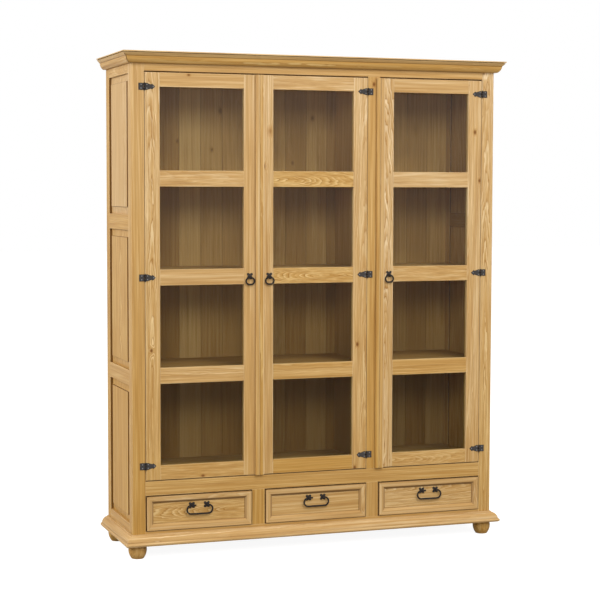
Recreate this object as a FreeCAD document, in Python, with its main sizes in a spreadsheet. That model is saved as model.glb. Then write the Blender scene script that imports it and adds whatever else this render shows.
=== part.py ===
# A three-door display cabinet in waxed pine with three drawers below and black iron fittings.
# Units are millimetres. The frame stands on the floor at Z = 0 with +Z up, the front faces -Y,
# +X is to the right, and the origin is under the middle of the cabinet's box.
import FreeCAD
import Part
import Sketcher
import itertools
import math
import os

doc = FreeCAD.newDocument("DisplayCabinet")
sheet = doc.addObject("Spreadsheet::Sheet", "Sizes")
sheet_rows = itertools.count(1)


class Size:
    """A length that keeps both its number and its formula in the sheet's cells."""

    def __init__(self, number, formula):
        self.number = number
        self.formula = formula

    def __add__(self, other):
        other = as_size(other)
        return Size(self.number + other.number, f"({self.formula} + {other.formula})")

    def __sub__(self, other):
        other = as_size(other)
        return Size(self.number - other.number, f"({self.formula} - {other.formula})")

    def __mul__(self, other):
        other = as_size(other)
        return Size(self.number * other.number, f"({self.formula} * {other.formula})")

    def __truediv__(self, other):
        other = as_size(other)
        return Size(self.number / other.number, f"({self.formula} / {other.formula})")

    def __neg__(self):
        return Size(-self.number, f"(-{self.formula})")


def as_size(value):
    """Take a plain number as a size with a fixed formula."""
    if isinstance(value, Size):
        return value
    return Size(float(value), f"({float(value)})")


def size(alias, number):
    """Write one driving dimension into the sheet and return it."""
    row = next(sheet_rows)
    sheet.set(f"A{row}", alias)
    sheet.set(f"B{row}", str(number))
    sheet.setAlias(f"B{row}", alias)
    return Size(float(number), f"Sizes.{alias}")


# Driving dimensions of the carcass
carcass_width = size("carcass_width", 1480)
carcass_depth = size("carcass_depth", 410)
foot_height = size("foot_height", 52)
plinth_height = size("plinth_height", 41)
plinth_overhang = size("plinth_overhang", 32)
top_board_thickness = size("top_board_thickness", 10)
cornice_overhang = size("cornice_overhang", 38)
crown_height = size("crown_height", 33)

# Front frame: stiles, rails and the openings between them
frame_thickness = size("frame_thickness", 22)
stile_width = size("stile_width", 50)
centre_stile_width = size("centre_stile_width", 50)
divider_width = size("divider_width", 50)
bottom_rail_height = size("bottom_rail_height", 10)
drawer_opening_height = size("drawer_opening_height", 136)
waist_rail_height = size("waist_rail_height", 54)
door_opening_height = size("door_opening_height", 1534)
top_rail_height = size("top_rail_height", 61)
pair_bay_width = size("pair_bay_width", 892)

# Panelled sides, back and inside boards
side_thickness = size("side_thickness", 22)
side_stile_width = size("side_stile_width", 50)
side_end_rail_height = size("side_end_rail_height", 35)
side_mid_rail_height = size("side_mid_rail_height", 58)
groove_depth = size("groove_depth", 8)
tongue_thickness = size("tongue_thickness", 6)
panel_play = size("panel_play", 0.3)
panel_bevel_width = size("panel_bevel_width", 30)
panel_bevel_depth = size("panel_bevel_depth", 8)
panel_recess = size("panel_recess", 2)
back_thickness = size("back_thickness", 12)
floor_thickness = size("floor_thickness", 20)
floor_lap = size("floor_lap", 18)
partition_thickness = size("partition_thickness", 20)
shelf_thickness = size("shelf_thickness", 18)
shelf_drop = size("shelf_drop", 7)
shelf_setback = size("shelf_setback", 4)
batten_size = size("batten_size", 18)
batten_setback = size("batten_setback", 20)

# Plinth moulding, crown moulding and feet
plinth_inner_width = size("plinth_inner_width", 60)
plinth_ledge = size("plinth_ledge", 5)
plinth_ledge_drop = size("plinth_ledge_drop", 3)
plinth_slope_radius = size("plinth_slope_radius", 26)
plinth_nose_height = size("plinth_nose_height", 12)
plinth_nose_bulge = size("plinth_nose_bulge", 4)
plinth_nose_lift = size("plinth_nose_lift", 1)
plinth_step = size("plinth_step", 2)
top_board_bevel = size("top_board_bevel", 5)
crown_reach = size("crown_reach", 33)
crown_soffit = size("crown_soffit", 11)
crown_band_height = size("crown_band_height", 7)
crown_band_slant = size("crown_band_slant", 6.4)
crown_step = size("crown_step", 2)
crown_radius = size("crown_radius", 30)
foot_diameter = size("foot_diameter", 70)
foot_neck_diameter = size("foot_neck_diameter", 60)
foot_sole_diameter = size("foot_sole_diameter", 48)
foot_belly_height = size("foot_belly_height", 34)
foot_inset = size("foot_inset", 24)
back_foot_inset = size("back_foot_inset", 50)
tenon_diameter = size("tenon_diameter", 24)
tenon_length = size("tenon_length", 25)
tenon_play = size("tenon_play", 0.2)

# Doors
door_thickness = size("door_thickness", 20)
door_gap = size("door_gap", 2)
door_top_gap = size("door_top_gap", 5)
door_bottom_gap = size("door_bottom_gap", 3.5)
meeting_gap = size("meeting_gap", 3)
door_stile_width = size("door_stile_width", 57)
door_end_rail_height = size("door_end_rail_height", 56)
door_cross_rail_height = size("door_cross_rail_height", 60)
rebate_width = size("rebate_width", 9)
glass_seat = size("glass_seat", 9)
glass_thickness = size("glass_thickness", 3)
glass_play = size("glass_play", 0.5)
bead_width = size("bead_width", 15)
band_width = size("band_width", 17.5)
band_overhang = size("band_overhang", 2)
strip_gap = size("strip_gap", 1)
bead_proud = size("bead_proud", 13)
bead_round = size("bead_round", 5)
catch_width = size("catch_width", 36)
catch_drop = size("catch_drop", 14)
catch_rise = size("catch_rise", 24)
catch_thickness = size("catch_thickness", 12)
catch_gap = size("catch_gap", 0.5)
catch_inset = size("catch_inset", 40)

# Drawers
drawer_side_gap = size("drawer_side_gap", 4)
drawer_top_gap = size("drawer_top_gap", 4)
drawer_bottom_gap = size("drawer_bottom_gap", 2.5)
drawer_front_thickness = size("drawer_front_thickness", 16)
drawer_panel_setback = size("drawer_panel_setback", 4)
drawer_frame_width = size("drawer_frame_width", 26)
drawer_frame_flat = size("drawer_frame_flat", 17)
drawer_frame_thickness = size("drawer_frame_thickness", 9)
drawer_frame_lip = size("drawer_frame_lip", 2)
drawer_board = size("drawer_board", 12)
drawer_bottom_board = size("drawer_bottom_board", 6)
drawer_bottom_lift = size("drawer_bottom_lift", 6)
drawer_box_depth = size("drawer_box_depth", 340)
drawer_box_height = size("drawer_box_height", 98)
drawer_play = size("drawer_play", 1)
running_gap = size("running_gap", 0.3)
runner_width = size("runner_width", 20)
runner_height = size("runner_height", 4)
guide_height = size("guide_height", 40)
drawer_wall_thickness = size("drawer_wall_thickness", 20)

# Hinges
hinge_height = size("hinge_height", 26)
hinge_leaf_thickness = size("hinge_leaf_thickness", 2)
frame_leaf_length = size("frame_leaf_length", 19)
door_leaf_length = size("door_leaf_length", 37)
door_leaf_straight = size("door_leaf_straight", 5.4)
hinge_head_length = size("hinge_head_length", 11)
hinge_neck_height = size("hinge_neck_height", 15)
hinge_head_height = size("hinge_head_height", 21)
hinge_head_slant = size("hinge_head_slant", 4.5)
barrel_radius = size("barrel_radius", 3.3)
barrel_clearance = size("barrel_clearance", 0.5)
leaf_clearance = size("leaf_clearance", 0.3)
middle_knuckle_height = size("middle_knuckle_height", 8.4)
pin_radius = size("pin_radius", 1.5)
pin_clearance = size("pin_clearance", 0.08)
pin_button_radius = size("pin_button_radius", 2.4)
pin_button_height = size("pin_button_height", 1.6)
screw_head_radius = size("screw_head_radius", 2.8)
screw_crown_radius = size("screw_crown_radius", 1.6)
screw_head_height = size("screw_head_height", 1.5)
screw_shank_radius = size("screw_shank_radius", 1.4)
screw_length = size("screw_length", 14)
screw_hole_play = size("screw_hole_play", 0.1)
screw_spread = size("screw_spread", 7)

# Ring pulls on the doors and bail pulls on the drawers
petal_radius = size("petal_radius", 4.6)
petal_offset = size("petal_offset", 7)
rosette_core_radius = size("rosette_core_radius", 6.5)
rosette_thickness = size("rosette_thickness", 2.5)
first_pull_inset = size("first_pull_inset", 23)
second_pull_inset = size("second_pull_inset", 16)
third_pull_inset = size("third_pull_inset", 18)
pull_rise = size("pull_rise", 1)
ring_width = size("ring_width", 39)
ring_height = size("ring_height", 32)
ring_wire_radius = size("ring_wire_radius", 3)
ring_stand_off = size("ring_stand_off", 7)
ring_eye_drop = size("ring_eye_drop", 6)
eye_width = size("eye_width", 5)
eye_wall = size("eye_wall", 2.2)
eye_play = size("eye_play", 0.5)
bail_spacing = size("bail_spacing", 59)
bail_width = size("bail_width", 107)
bail_drop = size("bail_drop", 36)
bail_wire_radius = size("bail_wire_radius", 3.2)
bail_stand_off = size("bail_stand_off", 9)
bail_head_room = size("bail_head_room", 16)
bail_nib = size("bail_nib", 5)
post_width = size("post_width", 7)
post_wall = size("post_wall", 2)
post_play = size("post_play", 0.25)

DOOR_PANES = 4
SIDE_PANELS = 3
BACK_BOARDS = 16
HINGES_PER_DOOR = 3
doc.recompute()

# Places worked out from the driving dimensions
half_width = carcass_width / 2
front = (cornice_overhang - carcass_depth) / 2
back = front + carcass_depth
frame_back = front + frame_thickness
back_face = back - back_thickness
inside = half_width - side_thickness
plinth_top = foot_height + plinth_height
base_top = plinth_top + bottom_rail_height
waist_bottom = base_top + drawer_opening_height
opening_bottom = waist_bottom + waist_rail_height
opening_top = opening_bottom + door_opening_height
carcass_top = opening_top + top_rail_height
floor_top = opening_bottom + floor_lap
floor_bottom = floor_top - floor_thickness
bay_left = stile_width - half_width
bay_right = half_width - stile_width
centre_left = bay_left + pair_bay_width
centre_right = centre_left + centre_stile_width
centre_middle = (centre_left + centre_right) / 2
meeting_line = (bay_left + centre_left) / 2
partition_left = centre_middle - partition_thickness / 2
partition_right = centre_middle + partition_thickness / 2

# Turns that lay a standing primitive down or stand a wedge up
TURN_NONE = FreeCAD.Rotation()
TURN_TO_X = FreeCAD.Rotation(FreeCAD.Vector(0, 1, 0), 90)
TURN_TO_FRONT = FreeCAD.Rotation(FreeCAD.Vector(1, 0, 0), 90)
TURN_TO_BACK = FreeCAD.Rotation(FreeCAD.Vector(1, 0, 0), -90)


def turn_about_z(degrees):
    return FreeCAD.Rotation(FreeCAD.Vector(0, 0, 1), degrees)


def turn_about_y(degrees):
    return FreeCAD.Rotation(FreeCAD.Vector(0, 1, 0), degrees)


nodes = []


def new(kind, label):
    """Add a document object under its own label."""
    item = doc.addObject(kind, label)
    item.Label = label
    return item


def bind(item, name, value):
    item.setExpression(name, as_size(value).formula)


def place(item, x, y, z, turn=TURN_NONE):
    """Set an object's turn, and bind its position to the sizes."""
    item.Placement = FreeCAD.Placement(FreeCAD.Vector(0, 0, 0), turn)
    bind(item, "Placement.Base.x", x)
    bind(item, "Placement.Base.y", y)
    bind(item, "Placement.Base.z", z)
    return item


def node(item):
    """Keep an object as one named piece of the cabinet."""
    nodes.append(item)
    return item


def group(label, pieces):
    """Keep several separate solids as one named node."""
    bundle = new("Part::Compound", label)
    bundle.Links = pieces
    return node(bundle)


def bundle_tools(label, pieces):
    tools = new("Part::Compound", label)
    tools.Links = pieces
    return tools


def board(label, x, y, z):
    """A plain board between two places along each axis."""
    item = new("Part::Box", label)
    bind(item, "Length", x[1] - x[0])
    bind(item, "Width", y[1] - y[0])
    bind(item, "Height", z[1] - z[0])
    return place(item, x[0], y[0], z[0])


def rod(label, radius, length, x, y, z, turn=TURN_NONE):
    """A round bar that starts at a point and runs along the turned axis."""
    item = new("Part::Cylinder", label)
    bind(item, "Radius", radius)
    bind(item, "Height", length)
    return place(item, x, y, z, turn)


def wedge(label, foot_x, head_x, rise, foot_z, head_z):
    """A block that tapers along its own Y from one rectangle to another."""
    item = new("Part::Wedge", label)
    names = ("Xmin", "Xmax", "X2min", "X2max", "Ymin", "Ymax", "Zmin", "Zmax", "Z2min", "Z2max")
    values = (*foot_x, *head_x, *rise, *foot_z, *head_z)
    for name, value in zip(names, values):
        bind(item, name, value)
    return item


def cut(label, base, tool):
    item = new("Part::Cut", label)
    item.Base = base
    item.Tool = tool
    return item


def fuse(label, pieces):
    item = new("Part::MultiFuse", label)
    item.Shapes = pieces
    return item


def common(label, base, tool):
    item = new("Part::Common", label)
    item.Base = base
    item.Tool = tool
    return item


def round_edge(first, last, radius, bulges_out):
    """The arc from one corner to the next, on the outline's outer or inner side."""
    chord = last - first
    middle = (first + last) / 2
    left = FreeCAD.Vector(-chord.y, chord.x, 0).normalize()
    rise = math.sqrt(radius ** 2 - (chord.Length / 2) ** 2)
    centre = middle + left * (rise if bulges_out else -rise)
    begin, end = (first, last) if bulges_out else (last, first)
    angles = [math.atan2(point.y - centre.y, point.x - centre.x) for point in (begin, end)]
    return Part.ArcOfCircle(Part.Circle(centre, FreeCAD.Vector(0, 0, 1), radius), *angles)


def draw_outline(sketch, corners, arcs):
    """Draw a closed outline, counterclockwise, with every corner and radius bound to the sizes.

    arcs maps a corner's number to the radius of the edge that follows it and to whether it bulges out.
    """
    corners = [(as_size(x), as_size(y)) for x, y in corners]
    points = [FreeCAD.Vector(x.number, y.number, 0) for x, y in corners]
    count = len(points)
    ends = []
    for index, first in enumerate(points):
        last = points[(index + 1) % count]
        if index in arcs:
            radius, bulges_out = arcs[index]
            edge = sketch.addGeometry(round_edge(first, last, radius.number, bulges_out), False)
            ends.append((edge, 1, 2) if bulges_out else (edge, 2, 1))
            number = sketch.addConstraint(Sketcher.Constraint("Radius", edge, radius.number))
            bind(sketch, f"Constraints[{number}]", radius)
        else:
            edge = sketch.addGeometry(Part.LineSegment(first, last), False)
            ends.append((edge, 1, 2))
    for index, (edge, start, finish) in enumerate(ends):
        next_edge, next_start, next_finish = ends[(index + 1) % count]
        sketch.addConstraint(Sketcher.Constraint("Coincident", edge, finish, next_edge, next_start))
        for axis, value, own_axis in (("X", corners[index][0], -2), ("Y", corners[index][1], -1)):
            if value.number == 0:
                sketch.addConstraint(Sketcher.Constraint("PointOnObject", edge, start, own_axis))
            else:
                distance = Sketcher.Constraint(f"Distance{axis}", -1, 1, edge, start, value.number)
                number = sketch.addConstraint(distance)
                bind(sketch, f"Constraints[{number}]", value)


def sketched_body(label, plane, corners, arcs):
    """A body with one sketch on one of its own planes."""
    body = new("PartDesign::Body", label)
    sketch = body.newObject("Sketcher::SketchObject", f"{label}_sketch")
    support = [item for item in body.Origin.OriginFeatures if item.Role == plane][0]
    sketch.AttachmentSupport = [(support, "")]
    sketch.MapMode = "FlatFace"
    draw_outline(sketch, corners, arcs)
    return body, sketch


def padded(label, plane, corners, length, arcs=None):
    """A body made by giving an outline its thickness."""
    body, sketch = sketched_body(label, plane, corners, arcs or {})
    pad = body.newObject("PartDesign::Pad", f"{label}_pad")
    pad.Profile = sketch
    bind(pad, "Length", length)
    return body


def turned(label, corners, arcs):
    """A body made on the lathe, about its own Z axis."""
    body, sketch = sketched_body(label, "XZ_Plane", corners, arcs)
    revolution = body.newObject("PartDesign::Revolution", f"{label}_revolution")
    revolution.Profile = sketch
    revolution.ReferenceAxis = (sketch, ["V_Axis"])
    revolution.Angle = 360
    return body


def mitred_mouldings(label, corners, arcs, inner, overhang, low, height):
    """Front, left and right lengths of one moulding, mitred where they meet at the front corners.

    The outline has the outward direction along its own -X and the way up along +Y.
    """
    runs = (
        ("front", carcass_width + overhang * 2, -half_width - overhang, front, 0),
        ("left", carcass_depth + overhang, -half_width, back, -90),
        ("right", carcass_depth + overhang, half_width, front - overhang, 90),
    )
    rise = (-inner, overhang)
    inner_half = half_width - inner
    outer_half = half_width + overhang
    blocks = {
        "front": ((-inner_half, inner_half), (-outer_half, outer_half), 180),
        "left": ((front + inner, back), (front - overhang, back), 90),
        "right": ((-back, -front - inner), (-back, overhang - front), -90),
    }
    faces = {"front": (0, front), "left": (-half_width, 0), "right": (half_width, 0)}
    pieces = []
    for side, length, x, y, degrees in runs:
        stick = padded(f"{label}_{side}_stick", "YZ_Plane", corners, length, arcs)
        place(stick, x, y, low, turn_about_z(degrees))
        foot_x, head_x, block_degrees = blocks[side]
        block = wedge(f"{label}_{side}_mitre", foot_x, head_x, rise, (0, height), (0, height))
        place(block, *faces[side], low, turn_about_z(block_degrees))
        pieces.append(common(f"{label}_{side}", stick, block))
    return pieces


def make_feet_and_plinth():
    """Four turned bun feet, tenoned into a mitred plinth frame that is moulded on three sides."""
    belly = foot_diameter / 2
    neck = foot_neck_diameter / 2
    sole = foot_sole_diameter / 2
    tenon = tenon_diameter / 2
    upper = foot_height - foot_belly_height
    lower_swell = belly - sole
    upper_swell = belly - neck
    lower_radius = (lower_swell * lower_swell + foot_belly_height * foot_belly_height) / (lower_swell * 2)
    upper_radius = (upper_swell * upper_swell + upper * upper) / (upper_swell * 2)
    outline = [(0, 0), (sole, 0), (belly, foot_belly_height), (neck, foot_height), (tenon, foot_height),
               (tenon, foot_height + tenon_length), (0, foot_height + tenon_length)]
    places = [(side, row) for side in ("left", "right") for row in ("front", "back")]
    feet = []
    holes = []
    for side, row in places:
        x = foot_inset - half_width if side == "left" else half_width - foot_inset
        y = front + foot_inset if row == "front" else back - back_foot_inset
        foot = turned(f"{row}_{side}_foot", outline, {1: (lower_radius, True), 2: (upper_radius, True)})
        feet.append(place(foot, x, y, 0))
        hole_depth = tenon_length + tenon_play
        holes.append(rod(f"{row}_{side}_tenon_hole", tenon + tenon_play, hole_depth, x, y, foot_height))
    group("feet", feet)

    bulge = plinth_nose_bulge
    nose_radius = (plinth_nose_height * plinth_nose_height / 4 + bulge * bulge) / (bulge * 2)
    nose = plinth_overhang - bulge
    nose_top = plinth_nose_lift + plinth_nose_height
    outline = [(plinth_inner_width, 0), (plinth_inner_width, plinth_height), (-plinth_ledge, plinth_height),
               (-plinth_ledge, plinth_height - plinth_ledge_drop),
               (plinth_step - nose, nose_top + plinth_step),
               (-nose, nose_top), (-nose, plinth_nose_lift), (-nose, 0)]
    arcs = {3: (plinth_slope_radius, True), 5: (nose_radius, True)}
    lengths = mitred_mouldings("plinth", outline, arcs, plinth_inner_width, plinth_overhang,
                               foot_height, plinth_height)
    rail_reach = half_width - plinth_inner_width
    lengths.append(board("plinth_back", (-rail_reach, rail_reach), (back - plinth_inner_width, back),
                         (foot_height, plinth_top)))
    tools = bundle_tools("tenon_holes", holes)
    group("plinth_frame", [cut(f"{length.Label}_bored", length, tools) for length in lengths])


def make_front_frame():
    """Stiles, rails and drawer dividers of the front frame, all flush at the front."""
    depth = (front, frame_back)
    height = (plinth_top, carcass_top)
    group("front_stiles", [board("left_front_stile", (-half_width, bay_left), depth, height),
                           board("right_front_stile", (bay_right, half_width), depth, height)])
    node(board("centre_stile", (centre_left, centre_right), depth, (opening_bottom, opening_top)))
    levels = (("bottom", plinth_top, base_top), ("waist", waist_bottom, opening_bottom),
              ("top", opening_top, carcass_top))
    group("front_rails", [board(f"{name}_front_rail", (bay_left, bay_right), depth, (low, high))
                          for name, low, high in levels])
    group("drawer_dividers", [board(f"drawer_divider_{number}", span, depth, (base_top, waist_bottom))
                              for number, span in enumerate(divider_spans(), start=1)])


def divider_spans():
    """The left and right edge of each upright between two drawers."""
    half_divider = divider_width / 2
    return [(meeting_line - half_divider, meeting_line + half_divider), (centre_left, centre_right)]


def side_panel_levels():
    """Low and high edge of each panel opening in the sides."""
    low = plinth_top + side_end_rail_height
    high = carcass_top - crown_height - side_end_rail_height
    panel_height = (high - low - side_mid_rail_height * (SIDE_PANELS - 1)) / SIDE_PANELS
    pitch = panel_height + side_mid_rail_height
    return [(low + pitch * index, low + pitch * index + panel_height) for index in range(SIDE_PANELS)]


def make_sides():
    """Frame and panel sides: grooved stiles and rails round three raised panels on each side."""
    levels = side_panel_levels()
    stile_front = front + side_stile_width
    stile_back = back - side_stile_width
    panel_middle = (stile_front + stile_back) / 2
    rail_edges = [plinth_top] + [edge for level in levels for edge in level] + [carcass_top]
    tongue_outer = panel_recess + panel_bevel_depth
    members = []
    panels = []
    for side, outward in (("left", -1), ("right", 1)):
        outer = half_width * outward
        thickness = (outer, outer + side_thickness) if outward < 0 else (outer - side_thickness, outer)
        tongue_face = outer - tongue_outer * outward
        tongue_rear = tongue_face - tongue_thickness * outward
        tongue = (tongue_face, tongue_rear) if outward < 0 else (tongue_rear, tongue_face)
        height = (plinth_top, carcass_top)
        between = (stile_front, stile_back)
        blanks = [board(f"{side}_side_front_stile", thickness, (frame_back, stile_front), height),
                  board(f"{side}_side_back_stile", thickness, (stile_back, back), height)]
        for number in range(SIDE_PANELS + 1):
            span = (rail_edges[number * 2], rail_edges[number * 2 + 1])
            blanks.append(board(f"{side}_side_rail_{number + 1}", thickness, between, span))
        grooves = []
        groove = (tongue[0] - panel_play, tongue[1] + panel_play)
        for number, (low, high) in enumerate(levels, start=1):
            grooves.append(board(f"{side}_groove_{number}", groove,
                                 (stile_front - groove_depth, stile_back + groove_depth),
                                 (low - groove_depth, high + groove_depth)))
            reach = groove_depth - panel_play
            sheet_board = board(f"{side}_panel_tongue_{number}", tongue,
                                (stile_front - reach, stile_back + reach), (low - reach, high + reach))
            half_panel = (stile_back - stile_front) / 2 - panel_play
            half_field = half_panel - panel_bevel_width
            panel_low = low + panel_play
            panel_high = high - panel_play
            field = wedge(f"{side}_panel_field_{number}", (-half_panel, half_panel),
                          (-half_field, half_field), (0, panel_bevel_depth), (panel_low, panel_high),
                          (panel_low + panel_bevel_width, panel_high - panel_bevel_width))
            place(field, tongue_face, panel_middle, 0, turn_about_z(-90 * outward))
            panels.append(fuse(f"{side}_side_panel_{number}", [sheet_board, field]))
        tools = bundle_tools(f"{side}_grooves", grooves)
        members += [cut(f"{blank.Label}_grooved", blank, tools) for blank in blanks]
    group("side_frames", members)
    group("side_panels", panels)


def make_back_and_top():
    """Upright boards across the back, the top board and the crown moulding under its overhang."""
    board_width = inside * 2 / BACK_BOARDS
    boards = []
    for index in range(BACK_BOARDS):
        span = (board_width * index - inside, board_width * (index + 1) - inside)
        boards.append(board(f"back_board_{index + 1}", span, (back_face, back), (plinth_top, carcass_top)))
    group("back_boards", boards)
    under = cornice_overhang - top_board_bevel
    top = wedge("top_board", (-half_width - under, half_width + under),
                (-half_width - cornice_overhang, half_width + cornice_overhang), (0, top_board_thickness),
                (-back, under - front), (-back, cornice_overhang - front))
    node(place(top, 0, 0, carcass_top, TURN_TO_FRONT))
    band_low = crown_height - crown_band_height
    band_reach = crown_reach - crown_band_slant
    outline = [(0, 0), (0, crown_height), (-crown_reach, crown_height), (-band_reach, band_low),
               (crown_step - band_reach, band_low), (-crown_soffit, 0)]
    arcs = {4: (crown_radius, True)}
    group("crown_mouldings", mitred_mouldings("crown", outline, arcs, as_size(0), crown_reach,
                                              carcass_top - crown_height, crown_height))


def door_rail_levels():
    """Low and high edge of each pane opening in a door, from the bottom up."""
    low = opening_bottom + door_gap + door_end_rail_height
    high = opening_top - door_gap - door_end_rail_height
    pane_height = (high - low - door_cross_rail_height * (DOOR_PANES - 1)) / DOOR_PANES
    pitch = pane_height + door_cross_rail_height
    return [(low + pitch * index, low + pitch * index + pane_height) for index in range(DOOR_PANES)]


def make_inside():
    """Base board, cabinet floor, partition and shelves on battens behind the doors' cross rails."""
    depth = (frame_back, back_face)
    node(board("base_board", (-inside, inside), depth, (plinth_top, base_top)))
    node(board("cabinet_floor", (-inside, inside), depth, (floor_bottom, floor_top)))
    node(board("partition", (partition_left, partition_right), depth, (floor_top, carcass_top)))
    shelves = []
    battens = []
    shelf_depth = (frame_back + shelf_setback, back_face)
    batten_depth = (shelf_depth[0] + batten_setback, back_face)
    bays = (("left", -inside, partition_left), ("right", partition_right, inside))
    for number, (low, high) in enumerate(door_rail_levels()[1:], start=1):
        shelf_top = low - shelf_drop
        shelf_low = shelf_top - shelf_thickness
        shelf_level = (shelf_low, shelf_top)
        for bay, start, end in bays:
            shelves.append(board(f"{bay}_shelf_{number}", (start, end), shelf_depth, shelf_level))
            for name, span in (("start", (start, start + batten_size)), ("end", (end - batten_size, end))):
                battens.append(board(f"{bay}_shelf_{number}_batten_{name}", span, batten_depth,
                                     (shelf_low - batten_size, shelf_low)))
    group("shelves", shelves)
    group("shelf_battens", battens)


def drawer_openings():
    """Left and right edge of each drawer opening."""
    (first_low, first_high), (second_low, second_high) = divider_spans()
    return [(bay_left, first_low), (first_high, second_low), (second_high, bay_right)]


def make_drawer_supports():
    """Walls between the drawers, with runners under the drawer sides and guides beside them."""
    depth = (frame_back, back_face)
    half_wall = drawer_wall_thickness / 2
    middles = [(low + high) / 2 for low, high in divider_spans()]
    spans = [(middle - half_wall, middle + half_wall) for middle in middles]
    walls = [board(f"drawer_wall_{number}", span, depth, (base_top, floor_bottom))
             for number, span in enumerate(spans, start=1)]
    group("drawer_walls", walls)
    wall_faces = [-inside] + [edge for span in spans for edge in span] + [inside]
    strips = []
    for number, (low, high) in enumerate(drawer_openings(), start=1):
        guide_level = (base_top, base_top + guide_height)
        runner_level = (base_top, base_top + runner_height)
        left_guide = (wall_faces[number * 2 - 2], low)
        right_guide = (high, wall_faces[number * 2 - 1])
        strips.append(board(f"drawer_{number}_left_guide", left_guide, depth, guide_level))
        strips.append(board(f"drawer_{number}_right_guide", right_guide, depth, guide_level))
        left_runner = (low, low + runner_width)
        right_runner = (high - runner_width, high)
        strips.append(board(f"drawer_{number}_left_runner", left_runner, depth, runner_level))
        strips.append(board(f"drawer_{number}_right_runner", right_runner, depth, runner_level))
    group("drawer_runners", strips)


def rounded_strip(label, left, right, level):
    """An upright strip on the front face, with its front edges rounded."""
    face = front - bead_proud
    shoulder = face + bead_round
    corners = [(left, front), (left, shoulder), (left + bead_round, face), (right - bead_round, face),
               (right, shoulder), (right, front)]
    arcs = {1: (bead_round, True), 3: (bead_round, True)}
    strip = padded(label, "XY_Plane", corners, level[1] - level[0], arcs)
    return node(place(strip, 0, 0, level[0]))


def hinge_levels():
    """Middle height of each hinge on a door: at the inner edges of its end rails and at half height."""
    low = opening_bottom + door_gap + door_end_rail_height
    high = opening_top - door_gap - door_end_rail_height
    return [low + (high - low) * index / (HINGES_PER_DOOR - 1) for index in range(HINGES_PER_DOOR)]


def screw(label, x, z):
    """A dome-headed screw whose head sits on a hinge leaf and whose shank runs into the wood."""
    face = front - hinge_leaf_thickness
    head = new("Part::Cone", f"{label}_head")
    bind(head, "Radius1", screw_head_radius)
    bind(head, "Radius2", screw_crown_radius)
    bind(head, "Height", screw_head_height)
    place(head, x, face, z, TURN_TO_FRONT)
    shank = rod(f"{label}_shank", screw_shank_radius, screw_length, x, face, z, TURN_TO_BACK)
    return fuse(label, [head, shank])


def screw_holes(label, places):
    """Tools for the clearance holes of a leaf."""
    face = front - hinge_leaf_thickness
    radius = screw_shank_radius + screw_hole_play
    return [rod(f"{label}_hole_{number}", radius, hinge_leaf_thickness, x, face, z, TURN_TO_BACK)
            for number, (x, z) in enumerate(places, start=1)]


def knuckle(label, axis_x, low, high, leaf_edge):
    """One knuckle of a hinge with the tongue that joins it to its leaf."""
    axis_y = front - barrel_radius - barrel_clearance
    barrel = rod(f"{label}_barrel", barrel_radius, high - low, axis_x, axis_y, low)
    tongue_x = (axis_x, leaf_edge) if leaf_edge.number > axis_x.number else (leaf_edge, axis_x)
    tongue_y = (front - hinge_leaf_thickness, front - barrel_clearance)
    tongue = board(f"{label}_tongue", tongue_x, tongue_y, (low, high))
    return [barrel, tongue]


def screws(label, places):
    return [screw(f"{label}_{number}", x, z) for number, (x, z) in enumerate(places, start=1)]


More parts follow.
